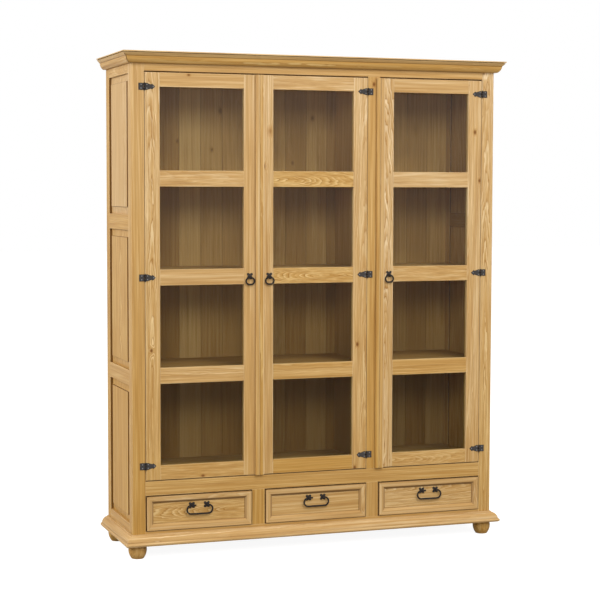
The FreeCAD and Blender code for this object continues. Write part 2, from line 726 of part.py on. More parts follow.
def make_hinge(label, axis_x, toward_door, middle):
    """One butterfly hinge: its frame leaf, its door leaf, its pin and the screws of both leaves."""
    low = middle - hinge_height / 2
    high = middle + hinge_height / 2
    middle_low = middle - middle_knuckle_height / 2
    middle_high = middle + middle_knuckle_height / 2
    axis_y = front - barrel_radius - barrel_clearance
    stand = barrel_radius + leaf_clearance
    bore = rod(f"{label}_bore", pin_radius + pin_clearance, hinge_height, axis_x, axis_y, low)

    frame_edge = axis_x - stand * toward_door
    frame_end = frame_edge - frame_leaf_length * toward_door
    frame_x = (frame_end, frame_edge) if toward_door > 0 else (frame_edge, frame_end)
    plate = board(f"{label}_frame_plate", frame_x, (front - hinge_leaf_thickness, front), (low, high))
    pieces = [plate]
    pieces += knuckle(f"{label}_low_knuckle", axis_x, low, middle_low - leaf_clearance, frame_edge)
    pieces += knuckle(f"{label}_high_knuckle", axis_x, middle_high + leaf_clearance, high, frame_edge)
    frame_places = [((frame_edge + frame_end) / 2, middle + screw_spread * side) for side in (-1, 1)]
    tools = bundle_tools(f"{label}_frame_tools", [bore] + screw_holes(f"{label}_frame", frame_places))
    frame_leaf = cut(f"{label}_frame_leaf", fuse(f"{label}_frame_blank", pieces), tools)
    frame_screws = screws(f"{label}_frame_screw", frame_places)

    door_edge = axis_x + stand * toward_door
    neck = door_leaf_length - hinge_head_length
    profile = [(0, hinge_height / 2), (door_leaf_straight, hinge_height / 2),
               (neck - hinge_head_slant, hinge_neck_height / 2), (neck, hinge_head_height / 2)]
    lower = [(door_edge + reach * toward_door, middle - half) for reach, half in map(both_sizes, profile)]
    upper = [(door_edge + reach * toward_door, middle + half) for reach, half in map(both_sizes, profile)]
    tip = (door_edge + door_leaf_length * toward_door, middle)
    plate = padded(f"{label}_door_plate", "XZ_Plane", lower + [tip] + upper[::-1], hinge_leaf_thickness)
    place(plate, 0, front, 0)
    pieces = [plate] + knuckle(f"{label}_middle_knuckle", axis_x, middle_low, middle_high, door_edge)
    near = door_edge + door_leaf_straight * toward_door
    far = door_edge + (neck + hinge_head_length / 3) * toward_door
    door_places = [(near, middle - screw_spread), (near, middle + screw_spread), (far, middle)]
    tools = bundle_tools(f"{label}_door_tools", [bore] + screw_holes(f"{label}_door", door_places))
    door_leaf = cut(f"{label}_door_leaf", fuse(f"{label}_door_blank", pieces), tools)
    door_screws = screws(f"{label}_door_screw", door_places)

    reach = hinge_height + pin_button_height * 2
    buttons = []
    for end, level in (("low", low - pin_button_height), ("high", high)):
        buttons.append(rod(f"{label}_pin_button_{end}", pin_button_radius, pin_button_height,
                           axis_x, axis_y, level))
    core = rod(f"{label}_pin_core", pin_radius, reach, axis_x, axis_y, low - pin_button_height)
    pin = fuse(f"{label}_pin", [core] + buttons)
    return frame_leaf, frame_screws, door_leaf, door_screws, pin


def both_sizes(pair):
    return as_size(pair[0]), as_size(pair[1])


def rosette(label, x, face, z):
    """A flat four-petalled plate round a core."""
    discs = [rod(f"{label}_core", rosette_core_radius, rosette_thickness, x, face, z, TURN_TO_FRONT)]
    for number, (across, up) in enumerate(((-1, -1), (1, -1), (-1, 1), (1, 1)), start=1):
        discs.append(rod(f"{label}_petal_{number}", petal_radius, rosette_thickness,
                         x + petal_offset * across, face, z + petal_offset * up, TURN_TO_FRONT))
    return discs


def eyed_plate(label, x, face, z, pivot_z, stand_off, hole_radius, width, wall):
    """A rosette with an eye that stands out of it and holds a wire along X."""
    reach = hole_radius + wall
    half_eye = width / 2
    eye = board(f"{label}_eye", (x - half_eye, x + half_eye), (face - stand_off - reach, face),
                (pivot_z - reach, pivot_z + reach))
    blank = fuse(f"{label}_blank", rosette(label, x, face, z) + [eye])
    hole = rod(f"{label}_eye_hole", hole_radius, width, x - half_eye, face - stand_off, pivot_z, TURN_TO_X)
    return cut(label, blank, hole)


def wire_loop(label, x, y, z, wire_radius, end_radius, half_bar, half_gap):
    """A flat oval of round wire that hangs from its top run, which may have a gap in the middle."""
    bar = rod(f"{label}_bar", wire_radius, half_bar * 2, x - half_bar, y, z - end_radius * 2, TURN_TO_X)
    pieces = [bar]
    for side, outward in (("left", -1), ("right", 1)):
        loop = new("Part::Torus", f"{label}_{side}_loop")
        bind(loop, "Radius1", end_radius)
        bind(loop, "Radius2", wire_radius)
        loop.Angle3 = 180
        turn = turn_about_y(90 * outward).multiply(TURN_TO_FRONT)
        pieces.append(place(loop, x + half_bar * outward, y, z - end_radius, turn))
        start = x - half_bar if outward < 0 else x + half_gap
        pieces.append(rod(f"{label}_{side}_end", wire_radius, half_bar - half_gap, start, y, z, TURN_TO_X))
    return node(fuse(label, pieces))


def make_door(name, span, hinge_side, strip_span, hinge_axis, pull_inset):
    """One glazed door: frame, panes, glazing beads, meeting strip, hinge leaves and ring pull."""
    left, right = span
    bottom = opening_bottom + door_bottom_gap
    top = opening_top - door_top_gap
    pane_left = left + door_stile_width
    pane_right = right - door_stile_width
    rear = front + door_thickness
    depth = (front, rear)
    levels = door_rail_levels()
    glass_back = front + glass_seat + glass_thickness
    rebates = []
    panes = []
    beads = []
    rebate_left = pane_left - rebate_width
    rebate_right = pane_right + rebate_width
    for number, (low, high) in enumerate(levels, start=1):
        rebate_low = low - rebate_width
        rebate_high = high + rebate_width
        rebates.append(board(f"{name}_rebate_{number}", (rebate_left, rebate_right),
                             (front + glass_seat, rear), (rebate_low, rebate_high)))
        panes.append(board(f"{name}_pane_{number}", (rebate_left + glass_play, rebate_right - glass_play),
                           (front + glass_seat, glass_back),
                           (rebate_low + glass_play, rebate_high - glass_play)))
        for side, across in (("left", (rebate_left, pane_left)), ("right", (pane_right, rebate_right))):
            beads.append(board(f"{name}_glazing_{number}_{side}", across, (glass_back, rear),
                               (rebate_low, rebate_high)))
        for side, up in (("bottom", (rebate_low, low)), ("top", (high, rebate_high))):
            beads.append(board(f"{name}_glazing_{number}_{side}", (pane_left, pane_right),
                               (glass_back, rear), up))
    blanks = [board(f"{name}_left_stile", (left, pane_left), depth, (bottom, top)),
              board(f"{name}_right_stile", (pane_right, right), depth, (bottom, top))]
    edges = [bottom] + [edge for level in levels for edge in level] + [top]
    for number in range(DOOR_PANES + 1):
        rail = (edges[number * 2], edges[number * 2 + 1])
        blanks.append(board(f"{name}_rail_{number + 1}", (pane_left, pane_right), depth, rail))
    tools = bundle_tools(f"{name}_rebates", rebates)
    group(f"{name}_frame", [cut(f"{blank.Label}_rebated", blank, tools) for blank in blanks])
    group(f"{name}_panes", panes)
    group(f"{name}_glazing_beads", beads)
    hinged_left = hinge_side == "left"
    rounded_strip(f"{name}_meeting_strip", *strip_span, (bottom, top))

    toward_door = 1 if hinged_left else -1
    hinges = [make_hinge(f"{name}_hinge_{number}", hinge_axis, toward_door, level)
              for number, level in enumerate(hinge_levels(), start=1)]
    leaves = []
    for frame_leaf, frame_screws, door_leaf, door_screws, pin in hinges:
        leaves += [door_leaf] + door_screws
    group(f"{name}_hinge_leaves", leaves)

    pull_x = pane_right + pull_inset if hinged_left else pane_left - pull_inset
    pull_z = (levels[0][0] + levels[-1][1]) / 2 + pull_rise
    pivot_z = pull_z - ring_eye_drop
    node(eyed_plate(f"{name}_pull_plate", pull_x, front, pull_z, pivot_z, ring_stand_off,
                    ring_wire_radius + eye_play, eye_width, eye_wall))
    end_radius = ring_height / 2 - ring_wire_radius
    half_bar = (ring_width - ring_height) / 2
    wire_loop(f"{name}_pull_ring", pull_x, front - ring_stand_off, pivot_z, ring_wire_radius, end_radius,
              half_bar, as_size(0))

    catch_middle = right - catch_inset if hinged_left else left + catch_inset
    half_catch = catch_width / 2
    catch_x = (catch_middle - half_catch, catch_middle + half_catch)
    plate = board(f"{name}_catch_plate", catch_x, (frame_back, frame_back + catch_thickness),
                  (opening_top - catch_drop, opening_top + catch_rise))
    nose = board(f"{name}_catch_nose", catch_x, (rear + catch_gap, frame_back),
                 (opening_top - catch_drop, opening_top - door_gap))
    return hinges, fuse(f"{name}_catch", [plate, nose])


def make_doors():
    """A pair of doors over the left bay and a single door over the right bay."""
    half_gap = meeting_gap / 2
    pair_left = bay_left + door_gap
    pair_right = centre_left - door_gap
    single_left = centre_right + door_gap
    single_right = bay_right - door_gap
    half_hinge_gap = door_gap / 2
    first_edge = meeting_line - half_gap
    second_edge = meeting_line + half_gap
    third_strip = single_left - band_overhang
    fixed_edge = third_strip - strip_gap
    first_strip = second_edge - strip_gap
    doors = (
        ("door_1", (pair_left, first_edge), "left", (first_strip - bead_width, first_strip),
         bay_left + half_hinge_gap, first_pull_inset),
        ("door_2", (second_edge, pair_right), "right", (second_edge, second_edge + band_width),
         centre_left - half_hinge_gap, second_pull_inset),
        ("door_3", (single_left, single_right), "right", (third_strip, third_strip + band_width),
         bay_right - half_hinge_gap, third_pull_inset),
    )
    hinges = []
    catches = []
    for name, span, hinge_side, strip_span, hinge_axis, pull_inset in doors:
        door_hinges, catch = make_door(name, span, hinge_side, strip_span, hinge_axis, pull_inset)
        hinges += door_hinges
        catches.append(catch)
    rounded_strip("fixed_strip", fixed_edge - bead_width, fixed_edge,
                  (opening_bottom + door_bottom_gap, opening_top - door_top_gap))
    group("hinge_frame_leaves", [hinge[0] for hinge in hinges])
    group("hinge_screws", [item for hinge in hinges for item in hinge[1]])
    group("hinge_pins", [hinge[4] for hinge in hinges])
    group("door_catches", catches)


def frame_stick(label, run, x, y, z, degrees):
    """One mitred length of a drawer's raised frame, flat outside and sloped towards the panel."""
    half_run = run / 2
    half_flat = half_run - drawer_frame_flat
    half_inner = half_run - drawer_frame_width
    thick = (0, drawer_frame_thickness)
    flat = wedge(f"{label}_flat", (-half_run, half_run), (-half_flat, half_flat),
                 (0, drawer_frame_flat), thick, thick)
    slope = wedge(f"{label}_slope", (-half_flat, half_flat), (-half_inner, half_inner),
                  (drawer_frame_flat, drawer_frame_width), thick, (0, drawer_frame_lip))
    turn = turn_about_y(degrees).multiply(TURN_TO_FRONT)
    return fuse(label, [place(flat, x, y, z, turn), place(slope, x, y, z, turn)])


def make_drawer(name, opening):
    """One drawer: front panel, raised frame, box and bail pull."""
    low_x, high_x = opening
    left = low_x + drawer_side_gap
    right = high_x - drawer_side_gap
    bottom = base_top + drawer_bottom_gap
    top = waist_bottom - drawer_top_gap
    panel_face = front + drawer_panel_setback
    panel_rear = panel_face + drawer_front_thickness
    middle_x = (left + right) / 2
    middle_z = (bottom + top) / 2
    node(board(f"{name}_front_panel", (left, right), (panel_face, panel_rear), (bottom, top)))
    width = right - left
    height = top - bottom
    sticks = (("bottom", width, middle_x, bottom, 0), ("left", height, left, middle_z, 90),
              ("top", width, middle_x, top, 180), ("right", height, right, middle_z, -90))
    group(f"{name}_front_frame", [frame_stick(f"{name}_frame_{side}", run, x, panel_face, z, degrees)
                                  for side, run, x, z, degrees in sticks])

    box_left = low_x + drawer_play
    box_right = high_x - drawer_play
    box_low = base_top + runner_height + running_gap
    box_level = (box_low, box_low + drawer_box_height)
    box_rear = panel_rear + drawer_box_depth
    inner = (box_left + drawer_board, box_right - drawer_board)
    bottom_low = box_low + drawer_bottom_lift
    group(f"{name}_box", [
        board(f"{name}_left_side", (box_left, inner[0]), (panel_rear, box_rear), box_level),
        board(f"{name}_right_side", (inner[1], box_right), (panel_rear, box_rear), box_level),
        board(f"{name}_back", inner, (box_rear - drawer_board, box_rear), box_level),
        board(f"{name}_bottom", inner, (panel_rear, box_rear - drawer_board),
              (bottom_low, bottom_low + drawer_bottom_board)),
    ])

    pull_z = top - drawer_frame_width - bail_head_room
    hole_radius = bail_wire_radius + post_play
    plates = []
    for side, outward in (("left", -1), ("right", 1)):
        plate_x = middle_x + bail_spacing / 2 * outward
        plates.append(eyed_plate(f"{name}_pull_plate_{side}", plate_x, panel_face, pull_z, pull_z,
                                 bail_stand_off, hole_radius, post_width, post_wall))
    group(f"{name}_pull_plates", plates)
    end_radius = (bail_drop - bail_wire_radius) / 2
    half_bar = bail_width / 2 - bail_wire_radius - end_radius
    half_gap = bail_spacing / 2 - post_width / 2 - bail_nib
    wire_loop(f"{name}_bail", middle_x, panel_face - bail_stand_off, pull_z, bail_wire_radius, end_radius,
              half_bar, half_gap)


def check_document():
    """Stop on any failed object and on any piece that isn't a valid solid."""
    for item in doc.Objects:
        if "Invalid" in item.State or "Error" in item.State:
            raise RuntimeError(f"{item.Label} failed: {item.State}")
    for item in nodes:
        if item.Shape.isNull() or not item.Shape.isValid() or not item.Shape.Solids:
            raise RuntimeError(f"{item.Label} has no valid solid")


make_feet_and_plinth()
make_front_frame()
make_sides()
make_back_and_top()
make_inside()
make_drawer_supports()
make_doors()
for drawer_number, drawer_opening in enumerate(drawer_openings(), start=1):
    make_drawer(f"drawer_{drawer_number}", drawer_opening)
doc.recompute()
check_document()

os.makedirs("parts", exist_ok=True)
for item in nodes:
    item.Shape.exportStep(os.path.join("parts", f"{item.Label}.step"))
    box = item.Shape.BoundBox
    corners = [round(value, 2) for value in (box.XMin, box.YMin, box.ZMin, box.XMax, box.YMax, box.ZMax)]
    print(f"{item.Label}: {len(item.Shape.Solids)} solids, {item.Shape.Volume / 1000:.1f} cm3, {corners}")
print(f"{len(nodes)} nodes")
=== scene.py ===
# %% [markdown]
# This lesson builds the looks of a waxed pine display cabinet: three glazed doors over three drawers,
# with a moulded cornice, a moulded plinth and turned feet.
# The imported model is loaded first, as a fixed frame in metres. Everything below is made at its true size
# and place around that frame, and each finished piece rides on one of the frame's bodies, so the doors
# and drawers still move. The frame's own box is kept.

# %% Load the frame
import math
import random

import bpy
import numpy as np
from mathutils import Euler, Matrix, Vector


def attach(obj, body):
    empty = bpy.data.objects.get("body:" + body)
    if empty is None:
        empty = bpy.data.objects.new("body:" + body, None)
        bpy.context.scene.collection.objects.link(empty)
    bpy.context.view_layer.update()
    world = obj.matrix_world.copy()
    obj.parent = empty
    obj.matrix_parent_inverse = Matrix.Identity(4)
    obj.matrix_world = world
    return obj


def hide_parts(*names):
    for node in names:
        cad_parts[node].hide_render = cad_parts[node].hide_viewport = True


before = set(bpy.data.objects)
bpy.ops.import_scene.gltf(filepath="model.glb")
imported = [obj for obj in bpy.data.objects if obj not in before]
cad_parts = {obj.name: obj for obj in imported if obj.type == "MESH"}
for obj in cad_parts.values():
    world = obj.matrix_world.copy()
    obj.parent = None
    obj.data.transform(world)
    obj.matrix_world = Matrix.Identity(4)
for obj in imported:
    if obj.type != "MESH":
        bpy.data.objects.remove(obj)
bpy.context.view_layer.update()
bpy.ops.object.select_all(action="DESELECT")

# %% [markdown]
# A joiner works from a rod, a stick on which every height and width is marked once. The values here are
# that rod, in millimetres, with X to the right, Y to the back and Z up. The front frame's face is at FRONT.

# %% The joiner's rod
MM = 0.001
HALF_WIDTH = 740
FRONT = -186
FRAME_BACK = -164
DOOR_REAR = -166
BACK_FACE = 212
BACK = 224
INSIDE = 718
FOOT_TOP = 52
PLINTH_TOP = 93
BASE_TOP = 103
WAIST_LOW = 239
OPENING_LOW = 293
OPENING_TOP = 1827
CARCASS_TOP = 1888
STILE_EDGE = 690
CENTRE_STILE = (202, 252)
DIVIDERS = ((-269, -219), CENTRE_STILE)
DOOR_SPANS = {1: (-688, -245.5), 2: (-242.5, 200), 3: (254, 688)}
DOOR_LEVEL = (296.5, 1822)
PANE_LEVELS = ((351, 660.5), (720.5, 1030), (1090, 1399.5), (1459.5, 1769))
DOOR_STILE = 57
DRAWER_SPANS = {1: (-690, -269), 2: (-219, 202), 3: (252, 690)}
DRAWER_LEVEL = (105.5, 235)
print("rod marked from", -HALF_WIDTH, "to", HALF_WIDTH)

# %% [markdown]
# Wood has a direction, so its pattern can't come from one set of coordinates for the whole cabinet.
# Every board here carries its own coordinates in an attribute called grain: metres along the board, and
# metres across and into the log, measured from the log's middle. The shader draws growth rings from the
# distance to that middle, so a board sawn near it shows arched figures and one sawn far off shows lines.
# Shader nodes are easier to read when small helpers join them, so those come first.

# %% Small helpers for shader nodes
def fed(tree, node, inputs):
    """Link each named input of a node to an output, or set its value."""
    for name, value in inputs.items():
        if isinstance(value, bpy.types.NodeSocket):
            tree.links.new(value, node.inputs[name])
        else:
            node.inputs[name].default_value = value
    return node


def added(tree, kind, inputs):
    return fed(tree, tree.nodes.new(f"ShaderNode{kind}"), inputs)


def calc(tree, operation, *values):
    node = added(tree, "Math", dict(enumerate(values)))
    node.operation = operation
    return node.outputs[0]


def stretched(tree, vector, factors):
    node = added(tree, "VectorMath", {0: vector, 1: factors})
    node.operation = "MULTIPLY"
    return node.outputs[0]


def length_of(tree, vector):
    node = added(tree, "VectorMath", {0: vector})
    node.operation = "LENGTH"
    return node.outputs["Value"]


def noise(tree, vector, detail=2.0, roughness=0.5):
    inputs = {"Vector": vector, "Scale": 1.0, "Detail": detail, "Roughness": roughness}
    return added(tree, "TexNoise", inputs).outputs["Fac"]


def ramp(tree, value, *stops):
    """Map a value through (place, level) stops."""
    node = added(tree, "ValToRGB", {0: value})
    points = node.color_ramp.elements
    while len(points) < len(stops):
        points.new(1.0)
    for point, (place, level) in zip(points, stops):
        point.position = place
        point.color = (level, level, level, 1)
    return node.outputs[0]


def mixed(tree, factor, first, second, blend="MIX"):
    node = tree.nodes.new("ShaderNodeMix")
    node.data_type = "RGBA"
    node.blend_type = blend
    return fed(tree, node, {0: factor, 6: first, 7: second}).outputs[2]


def attribute(tree, name, output="Fac"):
    node = tree.nodes.new("ShaderNodeAttribute")
    node.attribute_name = name
    return node.outputs[output]


def own_place(tree):
    return tree.nodes.new("ShaderNodeTexCoord").outputs["Object"]


def half_height(tree):
    """Half the height above the floor, in metres, which stays between 0 and 1 as a ramp needs it."""
    place = added(tree, "SeparateXYZ", {0: own_place(tree)})
    return calc(tree, "DIVIDE", place.outputs[2], 2.0)


def colour(red, green, blue):
    """A colour as a paint chart gives it, from 0 to 255, made linear for the shader."""
    levels = [value / 255 for value in (red, green, blue)]
    return (*[(v / 12.92 if v < 0.04045 else ((v + 0.055) / 1.055) ** 2.4) for v in levels], 1)


print("honey pine in linear light:", [round(v, 3) for v in colour(218, 178, 120)])

# %% [markdown]
# A ring's place is the distance to the log's middle divided by the ring's width. The whole part of the
# result counts the year, and the rest tells the season. A slow noise sways the rings as the trunk did, a
# quick one ripples them, and near a knot they swell. A wave texture draws rings too, but here each year
# gets a strength of its own.

# %% Growth rings and small knots
RING_PITCH = 0.0034


def small_knot_gap(tree, grain):
    """How far off the nearest small knot is, in knot sizes. Where chance leaves a place without a knot, it
    is moved far away."""
    cells = added(tree, "TexVoronoi", {"Vector": stretched(tree, grain, (2.6, 5.0, 0.2)), "Scale": 1.0})
    chance = added(tree, "SeparateColor", {0: cells.outputs["Color"]}).outputs[0]
    gap = calc(tree, "MULTIPLY", cells.outputs["Distance"], 18.0)
    return calc(tree, "MULTIPLY_ADD", calc(tree, "GREATER_THAN", chance, 0.55), 50.0, gap)


def growth_rings(tree, grain, knot_gap):
    """The pale late line of each ring and its dark rim. Rings sway slowly, ripple and swell round knots."""
    slow = noise(tree, stretched(tree, grain, (1.7, 17.0, 17.0)))
    quick = noise(tree, stretched(tree, grain, (14.0, 80.0, 80.0)))
    sway = calc(tree, "MULTIPLY", calc(tree, "SUBTRACT", slow, 0.5), 0.020)
    ripple = calc(tree, "MULTIPLY", calc(tree, "SUBTRACT", quick, 0.5), 0.006)
    squared = calc(tree, "MULTIPLY", knot_gap, knot_gap)
    swell = calc(tree, "MULTIPLY", calc(tree, "EXPONENT", calc(tree, "MULTIPLY", squared, -0.22)), 0.011)
    moved = calc(tree, "ADD", calc(tree, "ADD", sway, ripple), swell)
    reach = length_of(tree, stretched(tree, grain, (0.0, 1.0, 1.0)))
    years = calc(tree, "DIVIDE", calc(tree, "ADD", reach, moved), RING_PITCH)
    year = calc(tree, "FLOOR", years)
    season = calc(tree, "SUBTRACT", years, year)
    chance = tree.nodes.new("ShaderNodeTexWhiteNoise")
    chance.noise_dimensions = "1D"
    fed(tree, chance, {"W": year})
    force = calc(tree, "MULTIPLY_ADD", calc(tree, "POWER", chance.outputs["Value"], 2.0), 0.85, 0.15)
    force = calc(tree, "MULTIPLY", force, attribute(tree, "bold"))
    late = ramp(tree, season, (0.0, 0.0), (0.42, 0.08), (0.72, 1.0), (0.88, 0.9), (1.0, 0.0))
    rim = ramp(tree, season, (0.0, 0.8), (0.16, 0.0), (0.88, 0.0), (1.0, 0.8))
    return calc(tree, "MULTIPLY", late, force), calc(tree, "MULTIPLY", rim, force)


# %% [markdown]
# Waxed pine is honey coloured. The soft early part of each ring drinks the wax and turns honey brown, and
# the hard late part stays as a pale line with a thin dark edge. Fine fibres streak the board, knots push
# the rings aside, and an attribute called bold says how much of this shows. Recesses, steps and slopes
# that face down are darkened with painted shade, set by an attribute of the pieces. On the waxed pine,
# rounded edges are lightened, partly as real wear and partly as a painted highlight; on the inside pine
# they are dark seams. The inside is the same timber with less wax and with small knots strewn over it,
# and painted shade darkens it towards the floor. One function makes both finishes from a dictionary of
# tones.

# %% The two pine finishes
KNOT_REACH = 4.0


def new_finish(name):
    material = bpy.data.materials.new(name)
    material.use_nodes = True
    return material, material.node_tree


def pine_finish(name, tones, dullness, knot_depth, inside):
    material, tree = new_finish(name)
    grain = attribute(tree, "grain", "Vector")
    gaps = [length_of(tree, attribute(tree, knot, "Vector")) for knot in ("knot_one", "knot_two")]
    knot_gap = calc(tree, "MINIMUM", *gaps)
    if inside:
        knot_gap = calc(tree, "MINIMUM", knot_gap, small_knot_gap(tree, grain))
    line, rim = growth_rings(tree, grain, knot_gap)
    fibre = noise(tree, stretched(tree, grain, (4.0, 330.0, 330.0)), 3.0, 0.6)
    cloud = noise(tree, stretched(tree, grain, (2.2, 14.0, 14.0)), 3.0)
    vein = noise(tree, stretched(tree, grain, (2.4, 120.0, 120.0)), 2.0, 0.6)
    streak = mixed(tree, fibre, colour(184, 174, 158), colour(255, 255, 255))
    board_tone = mixed(tree, attribute(tree, "tint"), tones["deepest"], tones["freshest"])
    near_knot = calc(tree, "DIVIDE", knot_gap, KNOT_REACH)

    wood = mixed(tree, line, tones["ground"], tones["pale"])
    wood = mixed(tree, rim, wood, tones["dark"])
    wood = mixed(tree, ramp(tree, cloud, (0.38, 0.0), (0.72, 0.5)), wood, tones["amber"])
    wood = mixed(tree, ramp(tree, vein, (0.5, 0.0), (0.74, 0.45)), wood, tones["dark"])
    wood = mixed(tree, ramp(tree, vein, (0.28, 0.45), (0.48, 0.0)), wood, tones["pale"])
    wood = mixed(tree, 0.75, wood, streak, "MULTIPLY")
    wood = mixed(tree, 1.0, wood, board_tone, "MULTIPLY")
    wood = mixed(tree, ramp(tree, near_knot, (0.2, 0.6), (0.55, 0.0)), wood, tones["dark"])
    wood = mixed(tree, ramp(tree, near_knot, (0.1, knot_depth), (0.31, 0.0)), wood, tones["knot"])
    # Rounded edges: real wear plus a painted highlight on the waxed pine, dark seams on the inside pine.
    wood = mixed(tree, calc(tree, "MULTIPLY", attribute(tree, "wear_and_highlight"), 0.42), wood, tones["edge"])
    # Painted shade: recesses, steps and slopes that face down are mixed towards a dark brown.
    wood = mixed(tree, calc(tree, "MULTIPLY", attribute(tree, "painted_shade"), 0.75), wood, tones["painted_shade"])
    if inside:
        # Painted shade: the inside pine is darker towards the floor.
        lower_shade = ramp(tree, half_height(tree), (0.22, 0.78), (0.45, 0.98), (0.8, 1.0))
        wood = mixed(tree, 1.0, wood, lower_shade, "MULTIPLY")
    relief = calc(tree, "SUBTRACT", fibre, calc(tree, "MULTIPLY", line, 0.4))
    bump = added(tree, "Bump", {"Strength": 0.25, "Distance": 0.0006, "Height": relief})
    gloss = calc(tree, "MULTIPLY_ADD", fibre, 0.22, dullness)
    fed(tree, tree.nodes["Principled BSDF"], {"Base Color": wood, "Specular IOR Level": 0.05,
                                              "Roughness": gloss, "Normal": bump.outputs[0]})
    return material


# One tone darkens recesses and slopes that face down, as painted shade; the edge tone lightens worn edges
# and paints their highlight.
WAXED_TONES = {
    "ground": colour(215, 179, 117), "pale": colour(250, 229, 178), "dark": colour(164, 118, 60),
    "amber": colour(203, 163, 95), "knot": colour(110, 66, 34), "edge": colour(246, 224, 180),
    "painted_shade": colour(84, 52, 24), "deepest": colour(240, 222, 184), "freshest": colour(255, 252, 266),
}
PLAIN_TONES = {
    "ground": colour(236, 196, 134), "pale": colour(249, 217, 158), "dark": colour(178, 136, 78),
    "amber": colour(208, 164, 99), "knot": colour(104, 74, 46), "edge": colour(120, 92, 58),
    "painted_shade": colour(84, 52, 24), "deepest": colour(186, 166, 136), "freshest": colour(255, 253, 248),
}
waxed_pine = pine_finish("honey_waxed_pine", WAXED_TONES, 0.36, 0.88, inside=False)
plain_pine = pine_finish("dull_inside_pine", PLAIN_TONES, 0.5, 0.55, inside=True)
print("pine finishes:", waxed_pine.name, plain_pine.name)

# %% [markdown]
# The hinges and pulls are forged iron, blacked and waxed: nearly black, slightly uneven from the hammer,
# with a greyer rub on the flat of the leaves and on the screws, partly real wear and partly a painted
# highlight. The panes are clear window glass. A pane is best left open to the light, so it mixes a
# transparent shader with a mirror one: the shelves behind stay lit. A Fresnel node would take the pane's
# far face for the inside of a block of glass, and turn it into a full mirror in a slanting view. Layer
# Weight's facing is the same from both sides, and its fifth power rises as a pane's mirror does. A thin
# haze catches the lamps as glass does that isn't freshly cleaned, and it is made stronger on the upper
# panes as painted light, which brightens the view of the upper shelves.

# %% Black iron and window glass
def iron_finish(name):
    material, tree = new_finish(name)
    place = own_place(tree)
    hammer = noise(tree, stretched(tree, place, (260.0, 260.0, 260.0)))
    scale_marks = noise(tree, stretched(tree, place, (900.0, 900.0, 900.0)), 3.0)
    black = mixed(tree, scale_marks, colour(20, 16, 14), colour(46, 39, 35))
    # Greyer rub: real wear and a painted highlight on leaves, screws, pins and domes.
    rub_and_highlight = calc(tree, "MULTIPLY", attribute(tree, "wear_and_highlight"), 0.7)
    bump = added(tree, "Bump", {"Strength": 0.5, "Distance": 0.0008, "Height": hammer})
    fed(tree, tree.nodes["Principled BSDF"], {
        "Base Color": mixed(tree, rub_and_highlight, black, colour(148, 146, 144)), "Specular IOR Level": 0.2,
        "Roughness": calc(tree, "MULTIPLY_ADD", scale_marks, 0.25, 0.34), "Normal": bump.outputs[0]})
    return material


def glass_finish(name):
    material, tree = new_finish(name)
    tree.nodes.clear()
    clear = added(tree, "BsdfTransparent", {"Color": (0.95, 0.97, 0.95, 1)}).outputs[0]
    haze = added(tree, "BsdfDiffuse", {"Color": (0.9, 0.81, 0.76, 1)}).outputs[0]
    mirror = added(tree, "BsdfGlossy", {"Roughness": 0.02}).outputs[0]
    # The haze is lit by the lamps; its rise on the upper panes is painted light that brightens the upper
    # rows.
    haze_and_top_light = ramp(tree, half_height(tree), (0.25, 0.001), (0.44, 0.003), (0.62, 0.010), (0.81, 0.014))
    facing = added(tree, "LayerWeight", {"Blend": 0.5}).outputs["Facing"]
    mirror_share = calc(tree, "MULTIPLY_ADD", calc(tree, "POWER", facing, 5.0), 0.2, 0.003)
    hazy = added(tree, "MixShader", {0: haze_and_top_light, 1: clear, 2: haze}).outputs[0]
    pane = added(tree, "MixShader", {0: mirror_share, 1: hazy, 2: mirror}).outputs[0]
    added(tree, "OutputMaterial", {0: pane})
    return material


black_iron = iron_finish("blacked_forged_iron")
window_glass = glass_finish("clear_pane_glass")
print("iron and glass finishes:", black_iron.name, window_glass.name)

# %% [markdown]
# A board's figure depends on how it lay in the log. Most boards draw theirs by chance, and those that stand
# out on this cabinet ask for their own. A figure may give the pith, which is where the log's middle lies
# across and behind the board in millimetres, its lean, which is how far the pith moves per metre, and the
# board's tint, boldness and knots.

